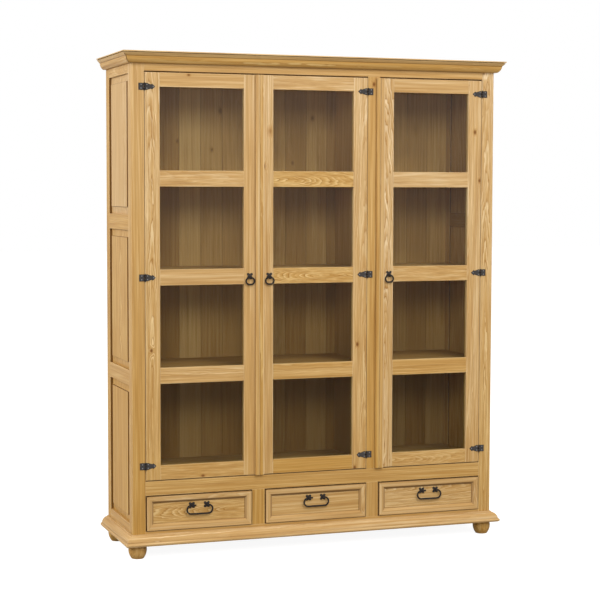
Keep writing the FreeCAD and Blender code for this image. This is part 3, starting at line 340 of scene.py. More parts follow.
# %% Figures of named boards
FIGURES = {
    "left_stile": {"pith": (75, 50), "lean": (6, 8), "tint": 0.4, "bold": 0.7},
    "right_stile": {"pith": (2, 30), "lean": (0, 30), "tint": 0.6, "bold": 1.6},
    "centre_stile": {"pith": (-90, 40), "lean": (4, 6), "tint": 0.1, "knots": ((1798, 226, 6),)},
    "door_1_left_stile": {"pith": (4, 26), "lean": (4, 26), "tint": 0.6, "bold": 1.6,
                          "knots": ((787, -665, 5),)},
    "door_2_left_stile": {"pith": (26, 40), "lean": (0, 14), "tint": 0.9, "bold": 1,
                          "knots": ((1478, -222, 7, 0.7), (1611, -198, 9, 0.9))},
    "door_2_right_stile": {"pith": (-22, 40), "lean": (0, 24), "tint": 0.75, "bold": 0.9,
                           "knots": ((787, 162, 6), (301, 153, 6))},
    "door_3_left_stile": {"pith": (4, 34), "lean": (0, 44), "tint": 1, "bold": 2},
    "door_3_right_stile": {"pith": (30, 40), "tint": 1, "bold": 0.8,
                           "knots": ((1619, 660, 6), (1427, 682, 5))},
    "door_1_rail_1": {"pith": (80, 40), "knots": ((-466, 304, 5),)},
    "door_1_rail_4": {"pith": (-10, 60), "lean": (0, 40), "tint": 0.7},
    "door_1_rail_2": {"pith": (20, 50), "tint": 0.8, "bold": 0.9},
    "door_2_rail_2": {"pith": (-30, 50), "tint": 0.5, "bold": 1.2},
    "door_3_rail_3": {"pith": (-60, 90), "tint": 0.6},
    "door_3_rail_4": {"pith": (90, 60), "tint": 1},
    "door_1_rail_5": {"pith": (110, 30), "knots": ((-519, 1815, 4),)},
    "door_2_rail_5": {"pith": (-120, 30)},
    "door_3_rail_5": {"pith": (100, 40)},
    "door_2_rail_4": {"pith": (6, 34), "lean": (30, 110), "tint": 0.1, "bold": 1.5},
    "door_2_rail_3": {"pith": (0, 4), "lean": (0, 130), "bold": 1.6},
    "door_3_rail_1": {"pith": (0, 35), "lean": (0, 95)},
    "left_panel_3": {"tint": 0.9},
    "left_panel_2": {"tint": 0.35},
    "left_panel_1": {"tint": 0.3},
    "left_side_member_2": {"tint": 0.1},
    "waist_rail": {"pith": (40, 36), "lean": (5, 5), "tint": 0.6, "bold": 0.9},
    "top_rail": {"pith": (120, 30), "lean": (0, 0)},
    "drawer_1_panel": {"pith": (0, 26), "lean": (0, -90), "tint": 0.7, "bold": 1.6},
    "drawer_2_panel": {"pith": (-50, 30), "tint": 0.9},
    "drawer_3_panel": {"pith": (-35, 30), "lean": (0, 60), "tint": 0.95, "bold": 1.4},
    "plinth_1": {"tint": 1.25, "bold": 1},
    "plinth_2": {"tint": 1.2, "bold": 1},
    "crown_1": {"tint": -0.22, "bold": 1},
    "crown_2": {"tint": 0.25, "bold": 1},
    "top_board": {"tint": 0, "bold": 1},
    "back_board_1": {"tint": 0.1},
    "back_board_2": {"tint": 0.1, "knots": ((1581, -455, 7),)},
    "back_board_3": {"tint": 0.9},
    "back_board_4": {"tint": 0.5, "knots": ((1703, -276, 9), (1548, -312, 6))},
    "back_board_5": {"tint": 0.3},
    "back_board_6": {"tint": 0.1},
    "back_board_7": {"tint": 0.6},
    "back_board_8": {"tint": 0.2, "knots": ((1498, 31, 7),)},
    "back_board_9": {"tint": 0.7, "knots": ((1681, 117, 7),)},
    "back_board_12": {"tint": 0.6},
    "back_board_13": {"tint": 0.8},
    "back_board_14": {"tint": 0.4},
    "back_board_15": {"tint": 0.8},
}
print("boards with a figure of their own:", len(FIGURES))

# %% [markdown]
# Operators act on all that is selected, so a piece is made the only one selected before a step. What the
# shader reads is kept in attributes of the mesh. The points are read and the attributes written as whole
# arrays, which is much quicker than one by one.

# %% Selecting, reading and writing
def alone(piece):
    """Make one piece the only one selected, and the active one."""
    bpy.ops.object.select_all(action="DESELECT")
    piece.select_set(True)
    bpy.context.view_layer.objects.active = piece


def apply_place():
    bpy.ops.object.transform_apply(location=True, rotation=True, scale=True)


def points_of(piece):
    places = np.empty(len(piece.data.vertices) * 3)
    piece.data.vertices.foreach_get("co", places)
    return places.reshape(-1, 3)


def write(piece, name, values):
    kind = "FLOAT_VECTOR" if values.ndim == 2 else "FLOAT"
    layer = piece.data.attributes.get(name) or piece.data.attributes.new(name, kind, "POINT")
    layer.data.foreach_set("vector" if values.ndim == 2 else "value", values.astype(np.float32).ravel())


# %% [markdown]
# The grain is laid along a board's longest side. The draws are seeded by the board's name, so a board looks
# the same each time. The tint also falls towards the floor, as painted shade.

# %% Laying the grain
LINED_SHARE = 0.55
# Painted shade: how fast a board's tint darkens per metre towards the floor.
FLOORWARD_SHADE = 0.45
TINT_LEVEL = 1.1
KNOT_STRETCH = 1.5
FAR_OFF = 50.0


def lay_grain(piece, label):
    """Write the piece's grain, bold, tint and knot attributes, seeded by its label. A knot is given as its
    place along the board, its place across it and its size, in millimetres, and how far under the face its
    heart lies, in sizes of the knot, where it only shows through."""
    draw = random.Random(label)
    figure = FIGURES.get(label, {})
    places = points_of(piece)
    low = places.min(axis=0)
    high = places.max(axis=0)
    along, across, deep = np.argsort(low - high, kind="stable")
    middle = (low + high) / 2
    if draw.random() < LINED_SHARE:
        pith = (draw.choice((-1, 1)) * draw.uniform(45, 130), draw.uniform(20, 60))
        lean = (draw.uniform(-10, 10), draw.uniform(-10, 10))
    else:
        pith = (draw.uniform(-22, 22), draw.choice((-1, 1)) * draw.uniform(40, 80))
        run_length = max(0.5, high[along] - low[along])
        lean = (draw.uniform(-6, 6), draw.choice((-1, 1)) * draw.uniform(18, 40) / run_length)
    pith = figure.get("pith", pith)
    lean = figure.get("lean", lean)
    start = draw.uniform(0, 40)
    run = places[:, along] - middle[along]
    grain = np.empty_like(places)
    grain[:, 0] = run + start
    grain[:, 1] = places[:, across] - middle[across] + (pith[0] + lean[0] * run) * MM
    grain[:, 2] = places[:, deep] - middle[deep] + (pith[1] + lean[1] * run) * MM
    write(piece, "grain", grain)
    write(piece, "bold", np.full(len(places), figure.get("bold", draw.uniform(0.35, 0.75))))
    tint = figure.get("tint", draw.uniform(0.2, 0.8))
    # The board's own tint, darkened towards the floor as painted shade.
    write(piece, "tint", np.clip(tint + FLOORWARD_SHADE * (places[:, 2] - TINT_LEVEL), 0, 1))
    for name, spot in zip(("knot_one", "knot_two"), figure.get("knots", ()) + (None, None)):
        knot = np.full_like(places, FAR_OFF)
        if spot:
            knot[:, 0] = (places[:, along] / MM - spot[0]) / (KNOT_STRETCH * spot[2])
            knot[:, 1] = (places[:, across] / MM - spot[1]) / spot[2]
            knot[:, 2] = spot[3] if len(spot) > 3 else 0.0
        write(piece, name, knot)
    return piece


# %% [markdown]
# Most of the cabinet is squared boards. Each starts as a cube of the board's size, and a bevel rounds its
# edges as a plane and sandpaper do. The boards of one piece are joined, and the piece then gets its finish,
# the node of the frame that it stands for and the body that it rides on.

# %% Boards and finished pieces
TOUCHING = 1e-6
SLOT_OF = {waxed_pine.name: "waxed_pine", plain_pine.name: "plain_pine", black_iron.name: "black_iron"}


def block(x, y, z):
    """A plain box between two values on each axis, in millimetres."""
    bpy.ops.object.select_all(action="DESELECT")
    middle = [(low + high) / 2 * MM for low, high in (x, y, z)]
    size = [(high - low) * MM for low, high in (x, y, z)]
    bpy.ops.mesh.primitive_cube_add(size=1, location=middle, scale=size)
    apply_place()
    return bpy.context.object


def plank(x, y, z, rounding=1.0):
    """A block with rounded edges, marked for the edge tone: real wear with a painted highlight, and dark
    seams on the inside pine.
    """
    piece = block(x, y, z)
    bpy.ops.object.mode_set(mode="EDIT")
    bpy.ops.mesh.select_all(action="SELECT")
    bpy.ops.mesh.bevel(offset=rounding * MM, segments=2, affect="EDGES")
    bpy.ops.object.mode_set(mode="OBJECT")
    places = points_of(piece)
    low = places.min(axis=0)
    high = places.max(axis=0)
    flat = (np.abs(places - low) < TOUCHING) | (np.abs(places - high) < TOUCHING)
    # The rounded edges get the edge tone: real wear with a painted highlight, and dark seams inside.
    write(piece, "wear_and_highlight", np.where(flat.any(axis=1), 0.0, 1.0))
    return piece


def board(label, x, y, z, rounding=1.0):
    return lay_grain(plank(x, y, z, rounding), label)


def joined(parts):
    alone(parts[0])
    for part in parts:
        part.select_set(True)
    if len(parts) > 1:
        bpy.ops.object.join()
    return bpy.context.object


def finished(node, parts, finish, body="carcass"):
    """Join the parts into one piece with its finish, which stands for a node of the frame."""
    piece = joined(parts)
    slot = SLOT_OF[finish.name]
    piece.name = f"{node}.{slot}"
    piece.data.name = piece.name
    piece.data.materials.clear()
    piece.data.materials.append(finish)
    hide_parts(node)
    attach(piece, body)
    print(piece.name, len(parts), "parts,", len(piece.data.polygons), "faces")


# %% [markdown]
# The front frame is what the doors and drawers hang in: two outer stiles, a centre stile between the pair
# of doors and the single one, three rails, and two short uprights between the drawers. All are flush. Each
# is a board of its own and not part of one big cut-out sheet, so the grain turns at every joint.

# %% The front frame
front_depth = (FRONT, FRAME_BACK)
upright = (PLINTH_TOP, CARCASS_TOP)
finished("front_stiles", [
    board("left_stile", (-HALF_WIDTH, -STILE_EDGE), front_depth, upright),
    board("right_stile", (STILE_EDGE, HALF_WIDTH), front_depth, upright),
], waxed_pine)
finished("centre_stile", [board("centre_stile", CENTRE_STILE, front_depth, (OPENING_LOW, OPENING_TOP))],
         waxed_pine)
rail_levels = {"bottom_rail": (PLINTH_TOP, BASE_TOP), "waist_rail": (WAIST_LOW, OPENING_LOW),
               "top_rail": (OPENING_TOP, CARCASS_TOP)}
finished("front_rails", [board(name, (-STILE_EDGE, STILE_EDGE), front_depth, level, 0.6)
                         for name, level in rail_levels.items()], waxed_pine)
finished("drawer_dividers", [board(f"divider_{number}", span, front_depth, (BASE_TOP, WAIST_LOW), 0.6)
                             for number, span in enumerate(DIVIDERS, start=1)], waxed_pine)

# %% [markdown]
# A groove or a rebate is a box of wood taken away. A Boolean modifier with a plain block as the cutter does
# what the router does, after the edges are rounded, so the cut itself stays crisp.

# %% Cutting with blocks
def cut(piece, cutter):
    alone(piece)
    modifier = piece.modifiers.new("cut", "BOOLEAN")
    modifier.operation = "DIFFERENCE"
    modifier.solver = "EXACT"
    modifier.object = cutter
    bpy.ops.object.modifier_apply(modifier=modifier.name)


def scrap(piece):
    bpy.data.meshes.remove(piece.data)


# %% [markdown]
# Each side is a frame of two stiles and four rails round three raised panels. A panel starts as a thin
# board that sits in the frame's grooves. Its outer face is inset to the frame's edge, and inset again with
# some height for the sloping border. Three more insets make the flat foot, the steep shoulder and the edge
# of the raised field. Painted shade darkens the shoulder.

# %% A raised panel
PANEL_RUN = (-136, 174)
FIELD_FACE = HALF_WIDTH - 10
FIELD_REAR = HALF_WIDTH - 16
GROOVE = 8
TONGUE_PLAY = 0.3
FIELD_INSETS = ((GROOVE, 0), (26, 3.6), (1.5, 0.2), (0.5, 3.9), (1.0, 0.3))
SHOULDER = (3.7, 7.8)


def widened(span, margin):
    return (span[0] - margin, span[1] + margin)


def select_faces(piece, wanted):
    """Select, in edit mode, the faces that a test picks."""
    alone(piece)
    bpy.ops.object.mode_set(mode="EDIT")
    bpy.ops.mesh.select_mode(type="FACE")
    bpy.ops.mesh.select_all(action="DESELECT")
    bpy.ops.object.mode_set(mode="OBJECT")
    for face in piece.data.polygons:
        face.select = wanted(face)
    bpy.ops.object.mode_set(mode="EDIT")


def raised_panel(outward, level):
    thick = sorted((outward * FIELD_FACE, outward * FIELD_REAR))
    tongue = GROOVE - TONGUE_PLAY
    panel = block(thick, widened(PANEL_RUN, tongue), widened(level, tongue))
    select_faces(panel, lambda face: face.normal.x * outward > 0.9)
    for inward, rise in FIELD_INSETS:
        bpy.ops.mesh.inset(thickness=inward * MM, depth=rise * MM)
    bpy.ops.object.mode_set(mode="OBJECT")
    risen = np.abs(points_of(panel)[:, 0]) / MM - FIELD_FACE
    # Painted shade along the shoulder of the raised field.
    write(panel, "painted_shade", np.where((risen > SHOULDER[0]) & (risen < SHOULDER[1]), 1.0, 0.0))
    return panel


# %% [markdown]
# The stiles and rails are grooved for the panels. One cutter does it, three blocks joined, each a little
# larger than its panel, because a solid panel needs room to swell. Painted shade darkens the back stile's
# edge beside the panels and the inner face of the third rail.

# %% The panelled sides
PANEL_LEVELS = ((128, 653.3), (711.3, 1236.7), (1294.7, 1820))
SIDE_STILES = ((FRAME_BACK, PANEL_RUN[0]), (PANEL_RUN[1], BACK))
BACK_STILE = 2
THIRD_RAIL = 5


def rails_between(low, levels, high):
    """The levels of the rails below, between and above openings at some levels."""
    edges = [low, *[edge for level in levels for edge in level], high]
    return list(zip(edges[::2], edges[1::2]))


side_rails = rails_between(PLINTH_TOP, PANEL_LEVELS, CARCASS_TOP)
side_members = []
side_fields = []
for side, outward in (("left", -1), ("right", 1)):
    thick = sorted((outward * HALF_WIDTH, outward * INSIDE))
    members = [plank(thick, span, upright) for span in SIDE_STILES]
    members += [plank(thick, PANEL_RUN, level, 0.8) for level in side_rails]
    groove_x = sorted((outward * (FIELD_FACE + TONGUE_PLAY), outward * (FIELD_REAR - TONGUE_PLAY)))
    router = joined([block(groove_x, widened(PANEL_RUN, GROOVE), widened(level, GROOVE))
                     for level in PANEL_LEVELS])
    for number, member in enumerate(members, start=1):
        cut(member, router)
        places = points_of(member)
        # Painted shade on the back stile's inner edge and on the third rail's inner face.
        shade_mask = np.zeros(len(places))
        if number == BACK_STILE:
            shade_mask[np.abs(places[:, 1] - PANEL_RUN[1] * MM) < 1e-5] = 1.0
        if number == THIRD_RAIL:
            shade_mask[np.abs(places[:, 0]) < (INSIDE + 1) * MM] = 0.4
        write(member, "painted_shade", shade_mask)
        side_members.append(lay_grain(member, f"{side}_side_member_{number}"))
    scrap(router)
    for number, level in enumerate(PANEL_LEVELS, start=1):
        side_fields.append(lay_grain(raised_panel(outward, level), f"{side}_panel_{number}"))
finished("side_frames", side_members, waxed_pine)
finished("side_panels", side_fields, waxed_pine)

# %% [markdown]
# The back is sixteen narrow upright boards, tongued together. One board is modelled with rounded edges that
# make the seams, and the others are copies moved along, each with its own mesh and its own grain. An array
# modifier would be quicker, but it would give every board the same figure.

# %% The back
BACK_BOARDS = 16


def copied(piece, shift, turn=(0, 0, 0), scale=(1, 1, 1)):
    """A copy with its own mesh, moved in millimetres, with its place applied."""
    alone(piece)
    bpy.ops.object.duplicate(linked=False)
    twin = bpy.context.object
    twin.location = Vector(shift) * MM
    twin.rotation_euler = turn
    twin.scale = scale
    apply_place()
    return twin


board_width = INSIDE * 2 / BACK_BOARDS
back_boards = [plank((-INSIDE, board_width - INSIDE), (BACK_FACE, BACK), upright, 1.8)]
for index in range(1, BACK_BOARDS):
    back_boards.append(copied(back_boards[0], (board_width * index, 0, 0)))
for index, one in enumerate(back_boards):
    lay_grain(one, f"back_board_{index}")
finished("back_boards", back_boards, plain_pine)

# %% [markdown]
# Inside are a base board, a floor, a partition behind the centre stile and shelves on battens. All are
# plain boards of the same inside finish, so loops over their spans and levels make them.

# %% The boards inside
PARTITION = (217, 237)
FLOOR_LEVEL = (291, 311)
inner_width = (-INSIDE, INSIDE)
inner_depth = (FRAME_BACK, BACK_FACE)
INNER_BOARDS = {"base_board": (inner_width, (PLINTH_TOP, BASE_TOP)),
                "cabinet_floor": (inner_width, FLOOR_LEVEL),
                "partition": (PARTITION, (FLOOR_LEVEL[1], CARCASS_TOP))}
for name, (across, up) in INNER_BOARDS.items():
    finished(name, [board(name, across, inner_depth, up)], plain_pine)

SHELF_TOPS = (713.5, 1083, 1452.5)
SHELF = 18
SHELF_FRONT = -160
BATTEN = 18
BATTEN_FRONT = -140
BAYS = {"left": (-INSIDE, PARTITION[0]), "right": (PARTITION[1], INSIDE)}
shelves = []
battens = []
for level, top in enumerate(SHELF_TOPS, start=1):
    low = top - SHELF
    for bay, (left, right) in BAYS.items():
        label = f"{bay}_shelf_{level}"
        shelves.append(board(label, (left, right), (SHELF_FRONT, BACK_FACE), (low, top), 1.5))
        for end in ((left, left + BATTEN), (right - BATTEN, right)):
            label = f"{bay}_batten_{level}_{end[0]}"
            battens.append(board(label, end, (BATTEN_FRONT, BACK_FACE), (low - BATTEN, low)))
finished("shelves", shelves, plain_pine)
finished("shelf_battens", battens, plain_pine)

# %% [markdown]
# Below the floor, two walls part the drawers. Each drawer slides on a pair of runners, between side guides
# that keep it straight. Behind the top rail, each door shuts against a catch with a small nose. They are
# seen only when something is open, so plain boards are enough.

# %% Drawer walls, runners and door catches
WALL_MIDDLES = (-244, 227)
HALF_WALL = 10
DRAWER_ROOMS = {1: (-INSIDE, WALL_MIDDLES[0] - HALF_WALL),
                2: (WALL_MIDDLES[0] + HALF_WALL, WALL_MIDDLES[1] - HALF_WALL),
                3: (WALL_MIDDLES[1] + HALF_WALL, INSIDE)}
GUIDE_TOP = 143
RUNNER_TOP = 107
RUNNER = 20
walls = [board(f"drawer_wall_{middle}", (middle - HALF_WALL, middle + HALF_WALL), inner_depth,
               (BASE_TOP, FLOOR_LEVEL[0])) for middle in WALL_MIDDLES]
finished("drawer_walls", walls, plain_pine)
runners = []
for number, (low, high) in DRAWER_SPANS.items():
    room_low, room_high = DRAWER_ROOMS[number]
    for span, top in (((room_low, low), GUIDE_TOP), ((high, room_high), GUIDE_TOP),
                      ((low, low + RUNNER), RUNNER_TOP), ((high - RUNNER, high), RUNNER_TOP)):
        runners.append(board(f"runner_{number}_{span[0]}", span, inner_depth, (BASE_TOP, top), 0.5))
finished("drawer_runners", runners, plain_pine)

CATCH_MIDDLES = (-285.5, -202.5, 294)
CATCH_LOW = 1813
HALF_CATCH = 18
catches = []
for middle in CATCH_MIDDLES:
    span = (middle - HALF_CATCH, middle + HALF_CATCH)
    catches.append(board(f"catch_{middle}", span, (FRAME_BACK, -152), (CATCH_LOW, 1851)))
    catches.append(board(f"catch_nose_{middle}", span, (-165.5, FRAME_BACK), (CATCH_LOW, 1825), 0.4))
finished("door_catches", catches, plain_pine)

# %% [markdown]
# A moulding is planed as one long stick and then mitred. Its section is drawn point by point: a plane is
# merged to a single vertex, which is extruded from point to point and closed with a face. The face is
# extruded along the run, and bisect cuts the mitres and fills them.

# %% Sections, sticks and mitres
def drawn_line(points):
    """A chain of edges through points in millimetres, left in edit mode with everything selected."""
    bpy.ops.object.select_all(action="DESELECT")
    bpy.ops.mesh.primitive_plane_add(size=MM, location=Vector(points[0]) * MM)
    piece = bpy.context.object
    apply_place()
    bpy.ops.object.mode_set(mode="EDIT")
    bpy.ops.mesh.select_mode(type="VERT")
    bpy.ops.mesh.select_all(action="SELECT")
    bpy.ops.mesh.merge(type="CENTER")
    for last, point in zip(points, points[1:]):
        step = (Vector(point) - Vector(last)) * MM
        bpy.ops.mesh.extrude_vertices_move(TRANSFORM_OT_translate={"value": step})
    bpy.ops.mesh.select_all(action="SELECT")
    return piece


def arc(first, last, radius, steps):
    """Points of an arc from one point to the next, bulging to the right of the way it runs."""
    first = Vector(first)
    last = Vector(last)
    chord = last - first
    left = Vector((-chord.y, chord.x)).normalized()
    centre = (first + last) / 2 + left * math.sqrt(radius ** 2 - (chord.length / 2) ** 2)
    start = first - centre
    sweep = start.angle_signed(last - centre)
    turns = [Matrix.Rotation(-sweep * step / steps, 2) for step in range(1, steps + 1)]
    return [tuple(centre + turn @ start) for turn in turns]


def extrude(step):
    """Extrude what is selected by a step in millimetres."""
    bpy.ops.mesh.extrude_region_move(TRANSFORM_OT_translate={"value": [value * MM for value in step]})


def face_outwards():
    """Turn all faces of the mesh in edit mode outwards, and leave edit mode."""
    bpy.ops.mesh.select_all(action="SELECT")
    bpy.ops.mesh.normals_make_consistent(inside=False)
    bpy.ops.object.mode_set(mode="OBJECT")


def smooth(degrees):
    bpy.ops.object.shade_smooth_by_angle(angle=math.radians(degrees))


def stick(points, run, mitres=()):
    """A section extruded along a run and cut by mitre planes, each a point and the side that is kept."""
    piece = drawn_line(points)
    bpy.ops.mesh.edge_face_add()
    extrude(run)
    for point, kept_side in mitres:
        bpy.ops.mesh.select_all(action="SELECT")
        bpy.ops.mesh.bisect(plane_co=Vector(point) * MM, plane_no=kept_side, use_fill=True,
                            clear_inner=True)
    face_outwards()
    smooth(25)
    return piece


def moulding_set(label, section, overhang, open_mitre=0):
    """Front, left and right lengths of one section, drawn as distance outwards and height. The front left
    mitre may have shrunk open."""
    reach = HALF_WIDTH + overhang
    corners = {"left": (-HALF_WIDTH, FRONT + open_mitre, 0), "right": (HALF_WIDTH, FRONT, 0)}
    front = [(-reach, FRONT - out, height) for out, height in section]
    front_left = (-HALF_WIDTH + open_mitre, FRONT, 0)
    lengths = [stick(front, (2 * reach, 0, 0), ((front_left, (1, -1, 0)), (corners["right"], (-1, -1, 0))))]
    for side, outward in (("left", -1), ("right", 1)):
        end = [(outward * (HALF_WIDTH + out), BACK, height) for out, height in section]
        lengths.append(stick(end, (0, FRONT - BACK - overhang, 0), ((corners[side], (outward, 1, 0)),)))
    for number, length in enumerate(lengths, start=1):
        lay_grain(length, f"{label}_{number}")
    return lengths


# %% [markdown]
# The plinth's section has a small ledge, a long rounded slope, a step and a half-round nose. The crown
# under the top board is a leaning band, a step and an ovolo, and its mitre has opened a little at one
# corner. Painted shade darkens the steps, and a painted highlight lightens the crown's leaning band.

# %% Plinth and crown
CROWN_LOW = 1855


def mark_band(piece, name, low, high, level):
    """Write an attribute's level between two heights in millimetres, and 0 elsewhere."""
    height = points_of(piece)[:, 2] / MM
    write(piece, name, np.where((height > low) & (height < high), level, 0.0))


plinth_section = [(-60, FOOT_TOP), (-60, PLINTH_TOP), (4.2, PLINTH_TOP), (5, 92.2), (5, 90)]
plinth_section += [(-x, FOOT_TOP + y) for x, y in arc((-5, 38), (-26, 15), 26, 9)] + [(28, 65)]
plinth_section += [(-x, FOOT_TOP + y) for x, y in arc((-28, 13), (-28, 1), 6.5, 8)] + [(28, FOOT_TOP)]
plinth = moulding_set("plinth", plinth_section, 32)
for length in plinth:
    # Painted shade at the plinth's step.
    mark_band(length, "painted_shade", 64.9, 67.1, 0.3)
plinth.append(board("plinth_back", (-680, 680), (164, BACK), (FOOT_TOP, PLINTH_TOP)))
finished("plinth_frame", plinth, waxed_pine)

crown_section = [(0, CROWN_LOW), (0, CARCASS_TOP), (33, CARCASS_TOP), (27.2, 1881.5), (26.6, 1880.9),
                 (25.4, 1880.9), (24.6, 1880)]
crown_section += [(-x, CROWN_LOW + y) for x, y in arc((-24.6, 25), (-11, 0), 30, 10)]
crown_lengths = moulding_set("crown", crown_section, 33, open_mitre=2.4)
for length in crown_lengths:
    # Painted shade at the crown's step.
    mark_band(length, "painted_shade", 1879.5, 1881.2, 0.5)
    # Painted highlight on the leaning band, which faces partly down.
    mark_band(length, "wear_and_highlight", 1881.4, CARCASS_TOP + 1, 0.3)
finished("crown_mouldings", crown_lengths, waxed_pine)

# %% [markdown]
# The top board carries the crown's band on, with a groove under a thin lip. It starts as a block. Its lower
# face is drawn in a little for the lean of the band, and its upper face is extruded in place and resized,
# inwards for the groove and outwards for the lip. The back edge stays where it is.

# %% Top board
BAND_FOOT = 33
BAND_TOP = 36
GROOVE_REACH = 31
LIP_REACH = 38
SHADE_REACH = 32


def spread(old, new):
    """Resize what is selected about the back edge, from one overhang past the carcass to another."""
    depth = BACK - FRONT
    factors = ((HALF_WIDTH + new) / (HALF_WIDTH + old), (depth + new) / (depth + old), 1)
    bpy.ops.transform.resize(value=factors, center_override=(0, BACK * MM, CARCASS_TOP * MM))


top = block(widened((-HALF_WIDTH, HALF_WIDTH), BAND_TOP), (FRONT - BAND_TOP, BACK), (CARCASS_TOP, 1891.5))
select_faces(top, lambda face: face.normal.z < -0.9)
spread(BAND_TOP, BAND_FOOT)
bpy.ops.object.mode_set(mode="OBJECT")
select_faces(top, lambda face: face.normal.z > 0.9)
for old, new, rise in ((BAND_TOP, GROOVE_REACH, 2.5), (GROOVE_REACH, LIP_REACH, 4)):
    extrude((0, 0, 0))
    spread(old, new)
    extrude((0, 0, rise))
bpy.ops.mesh.bevel(offset=1.2 * MM, segments=2, affect="EDGES")
bpy.ops.object.mode_set(mode="OBJECT")
top_places = points_of(top) / MM
reach = np.maximum(np.abs(top_places[:, 0]) - HALF_WIDTH, FRONT - top_places[:, 1])
# Painted shade in the groove under the lip, and a painted highlight on the band and lip beyond it.
write(top, "painted_shade", np.where((top_places[:, 2] > 1891) & (reach < SHADE_REACH), 0.7, 0.0))
write(top, "wear_and_highlight", np.where(reach > SHADE_REACH, 0.4, 0.0))
finished("top_board", [lay_grain(top, "top_board")], waxed_pine)

# %% [markdown]
# The feet are turned on a lathe, and so are they here: half the outline is drawn and spun round the foot's
# axis. A squashed ball would be quicker, but it has no flat sole and no tenon. Where the line meets the
# axis the spin leaves doubles, so they are merged and the normals set right.

# %% Turned feet
DOUBLES = 0.00001
FOOT_TENON = 77
FOOT_SIDES = (-716, 716)
FOOT_ROWS = (-162, 174)


def spun(points, centre, axis, steps):
    """A line of points spun full circle about an axis through a centre."""
    piece = drawn_line(points)
    bpy.ops.mesh.spin(steps=steps, angle=2 * math.pi, center=Vector(centre) * MM, axis=axis)
    bpy.ops.mesh.select_all(action="SELECT")
    bpy.ops.mesh.remove_doubles(threshold=DOUBLES)
    face_outwards()
    smooth(35)
    return piece


lower_bun = arc((24, 2), (35, 34), 55, 9)
upper_bun = arc((35, 34), (30, 52), 35, 6)
foot_line = [(0, 0), (22, 0), (23.4, 0.6), (24, 2)] + lower_bun + upper_bun
foot_line += [(12, FOOT_TOP), (12, FOOT_TENON), (0, FOOT_TENON)]
first_foot = spun([(radius, 0, height) for radius, height in foot_line], (0, 0, 0), (0, 0, 1), 40)
feet = []
for x in FOOT_SIDES:
    for y in FOOT_ROWS:
        feet.append(lay_grain(copied(first_foot, (x, y, 0), (0, 0, 0.4 * len(feet))), f"foot_{x}_{y}"))
scrap(first_foot)
finished("feet", feet, waxed_pine)

# %% [markdown]
# A door is two stiles and five rails, rebated behind for four panes, with thin glazing beads that hold the
# glass. The rebates of all four panes are one joined cutter, so each timber is cut in one go. The panes of
# the frame are plain sheets already, so they stay and only get the glass finish.

# %% The doors
REBATE = 9
GLASS_FACE = -177
GLASS_BACK = -174
door_depth = (FRONT, DOOR_REAR)
bead_depth = (GLASS_BACK, DOOR_REAR)


def make_door(number):
    name = f"door_{number}"
    left, right = DOOR_SPANS[number]
    pane_left = left + DOOR_STILE
    pane_right = right - DOOR_STILE
    pane = (pane_left, pane_right)
    members = {"left_stile": ((left, pane_left), DOOR_LEVEL),
               "right_stile": ((pane_right, right), DOOR_LEVEL)}
    for rail, level in enumerate(rails_between(DOOR_LEVEL[0], PANE_LEVELS, DOOR_LEVEL[1]), start=1):
        members[f"rail_{rail}"] = (pane, level)
    rebates = joined([block(widened(pane, REBATE), (GLASS_FACE, DOOR_REAR + 2), widened(level, REBATE))
                      for level in PANE_LEVELS])
    timbers = []
    for label, (across, up) in members.items():
        timber = plank(across, door_depth, up, 1.2)
        cut(timber, rebates)
        timbers.append(lay_grain(timber, f"{name}_{label}"))
    scrap(rebates)
    finished(f"{name}_frame", timbers, waxed_pine, name)

    low, high = PANE_LEVELS[0]
    side_bead = plank((pane_left - REBATE, pane_left), bead_depth, (low - REBATE, high + REBATE), 1.5)
    end_bead = plank(pane, bead_depth, (low - REBATE, low), 1.5)
    beads = []
    for level in PANE_LEVELS:
        rise = level[0] - low
        beads.append(copied(side_bead, (0, 0, rise)))
        beads.append(copied(side_bead, (pane_right - pane_left + REBATE, 0, rise)))
        beads.append(copied(end_bead, (0, 0, rise)))
        beads.append(copied(end_bead, (0, 0, rise + level[1] - level[0] + REBATE)))
    scrap(side_bead)
    scrap(end_bead)
    for index, bead in enumerate(beads):
        lay_grain(bead, f"{name}_bead_{index}")
    finished(f"{name}_glazing_beads", beads, waxed_pine, name)
    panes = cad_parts[f"{name}_panes"]
    panes.data.materials.clear()
    panes.data.materials.append(window_glass)


for number in DOOR_SPANS:
    make_door(number)

# %% [markdown]
# Where two doors meet, a strip with rounded edges covers the joint. It is split at the groove in its
# middle, half on each door, and beside the single door one half is fixed to the centre stile. The left half
# is undercut where it meets the stile, which draws a dark line beside it. The section is drawn and extruded
# as a moulding's is, because its two edges have different roundings.

# %% Meeting strips
STRIPS = {"door_1_meeting_strip": ((-258.5, -243.5), (5, 2), "door_1"),
          "door_2_meeting_strip": ((-242.5, -225), (2, 5), "door_2"),
          "fixed_strip": ((236, 251), (5, 2), "carcass"),
          "door_3_meeting_strip": ((252, 269.5), (2, 5), "door_3")}
STRIP_FACE = FRONT - 13
SLOT_WIDTH = 4
SLOT_DEPTH = 4.5


def mark_rub_and_highlight(piece, test, level=1.0):
    """Write how far the finish is rubbed off, as real wear with a painted highlight, where a test of the
    place in millimetres says so.
    """
    places = points_of(piece) / MM
    write(piece, "wear_and_highlight", np.array([level if test(place) else 0.0 for place in places]))
    return piece


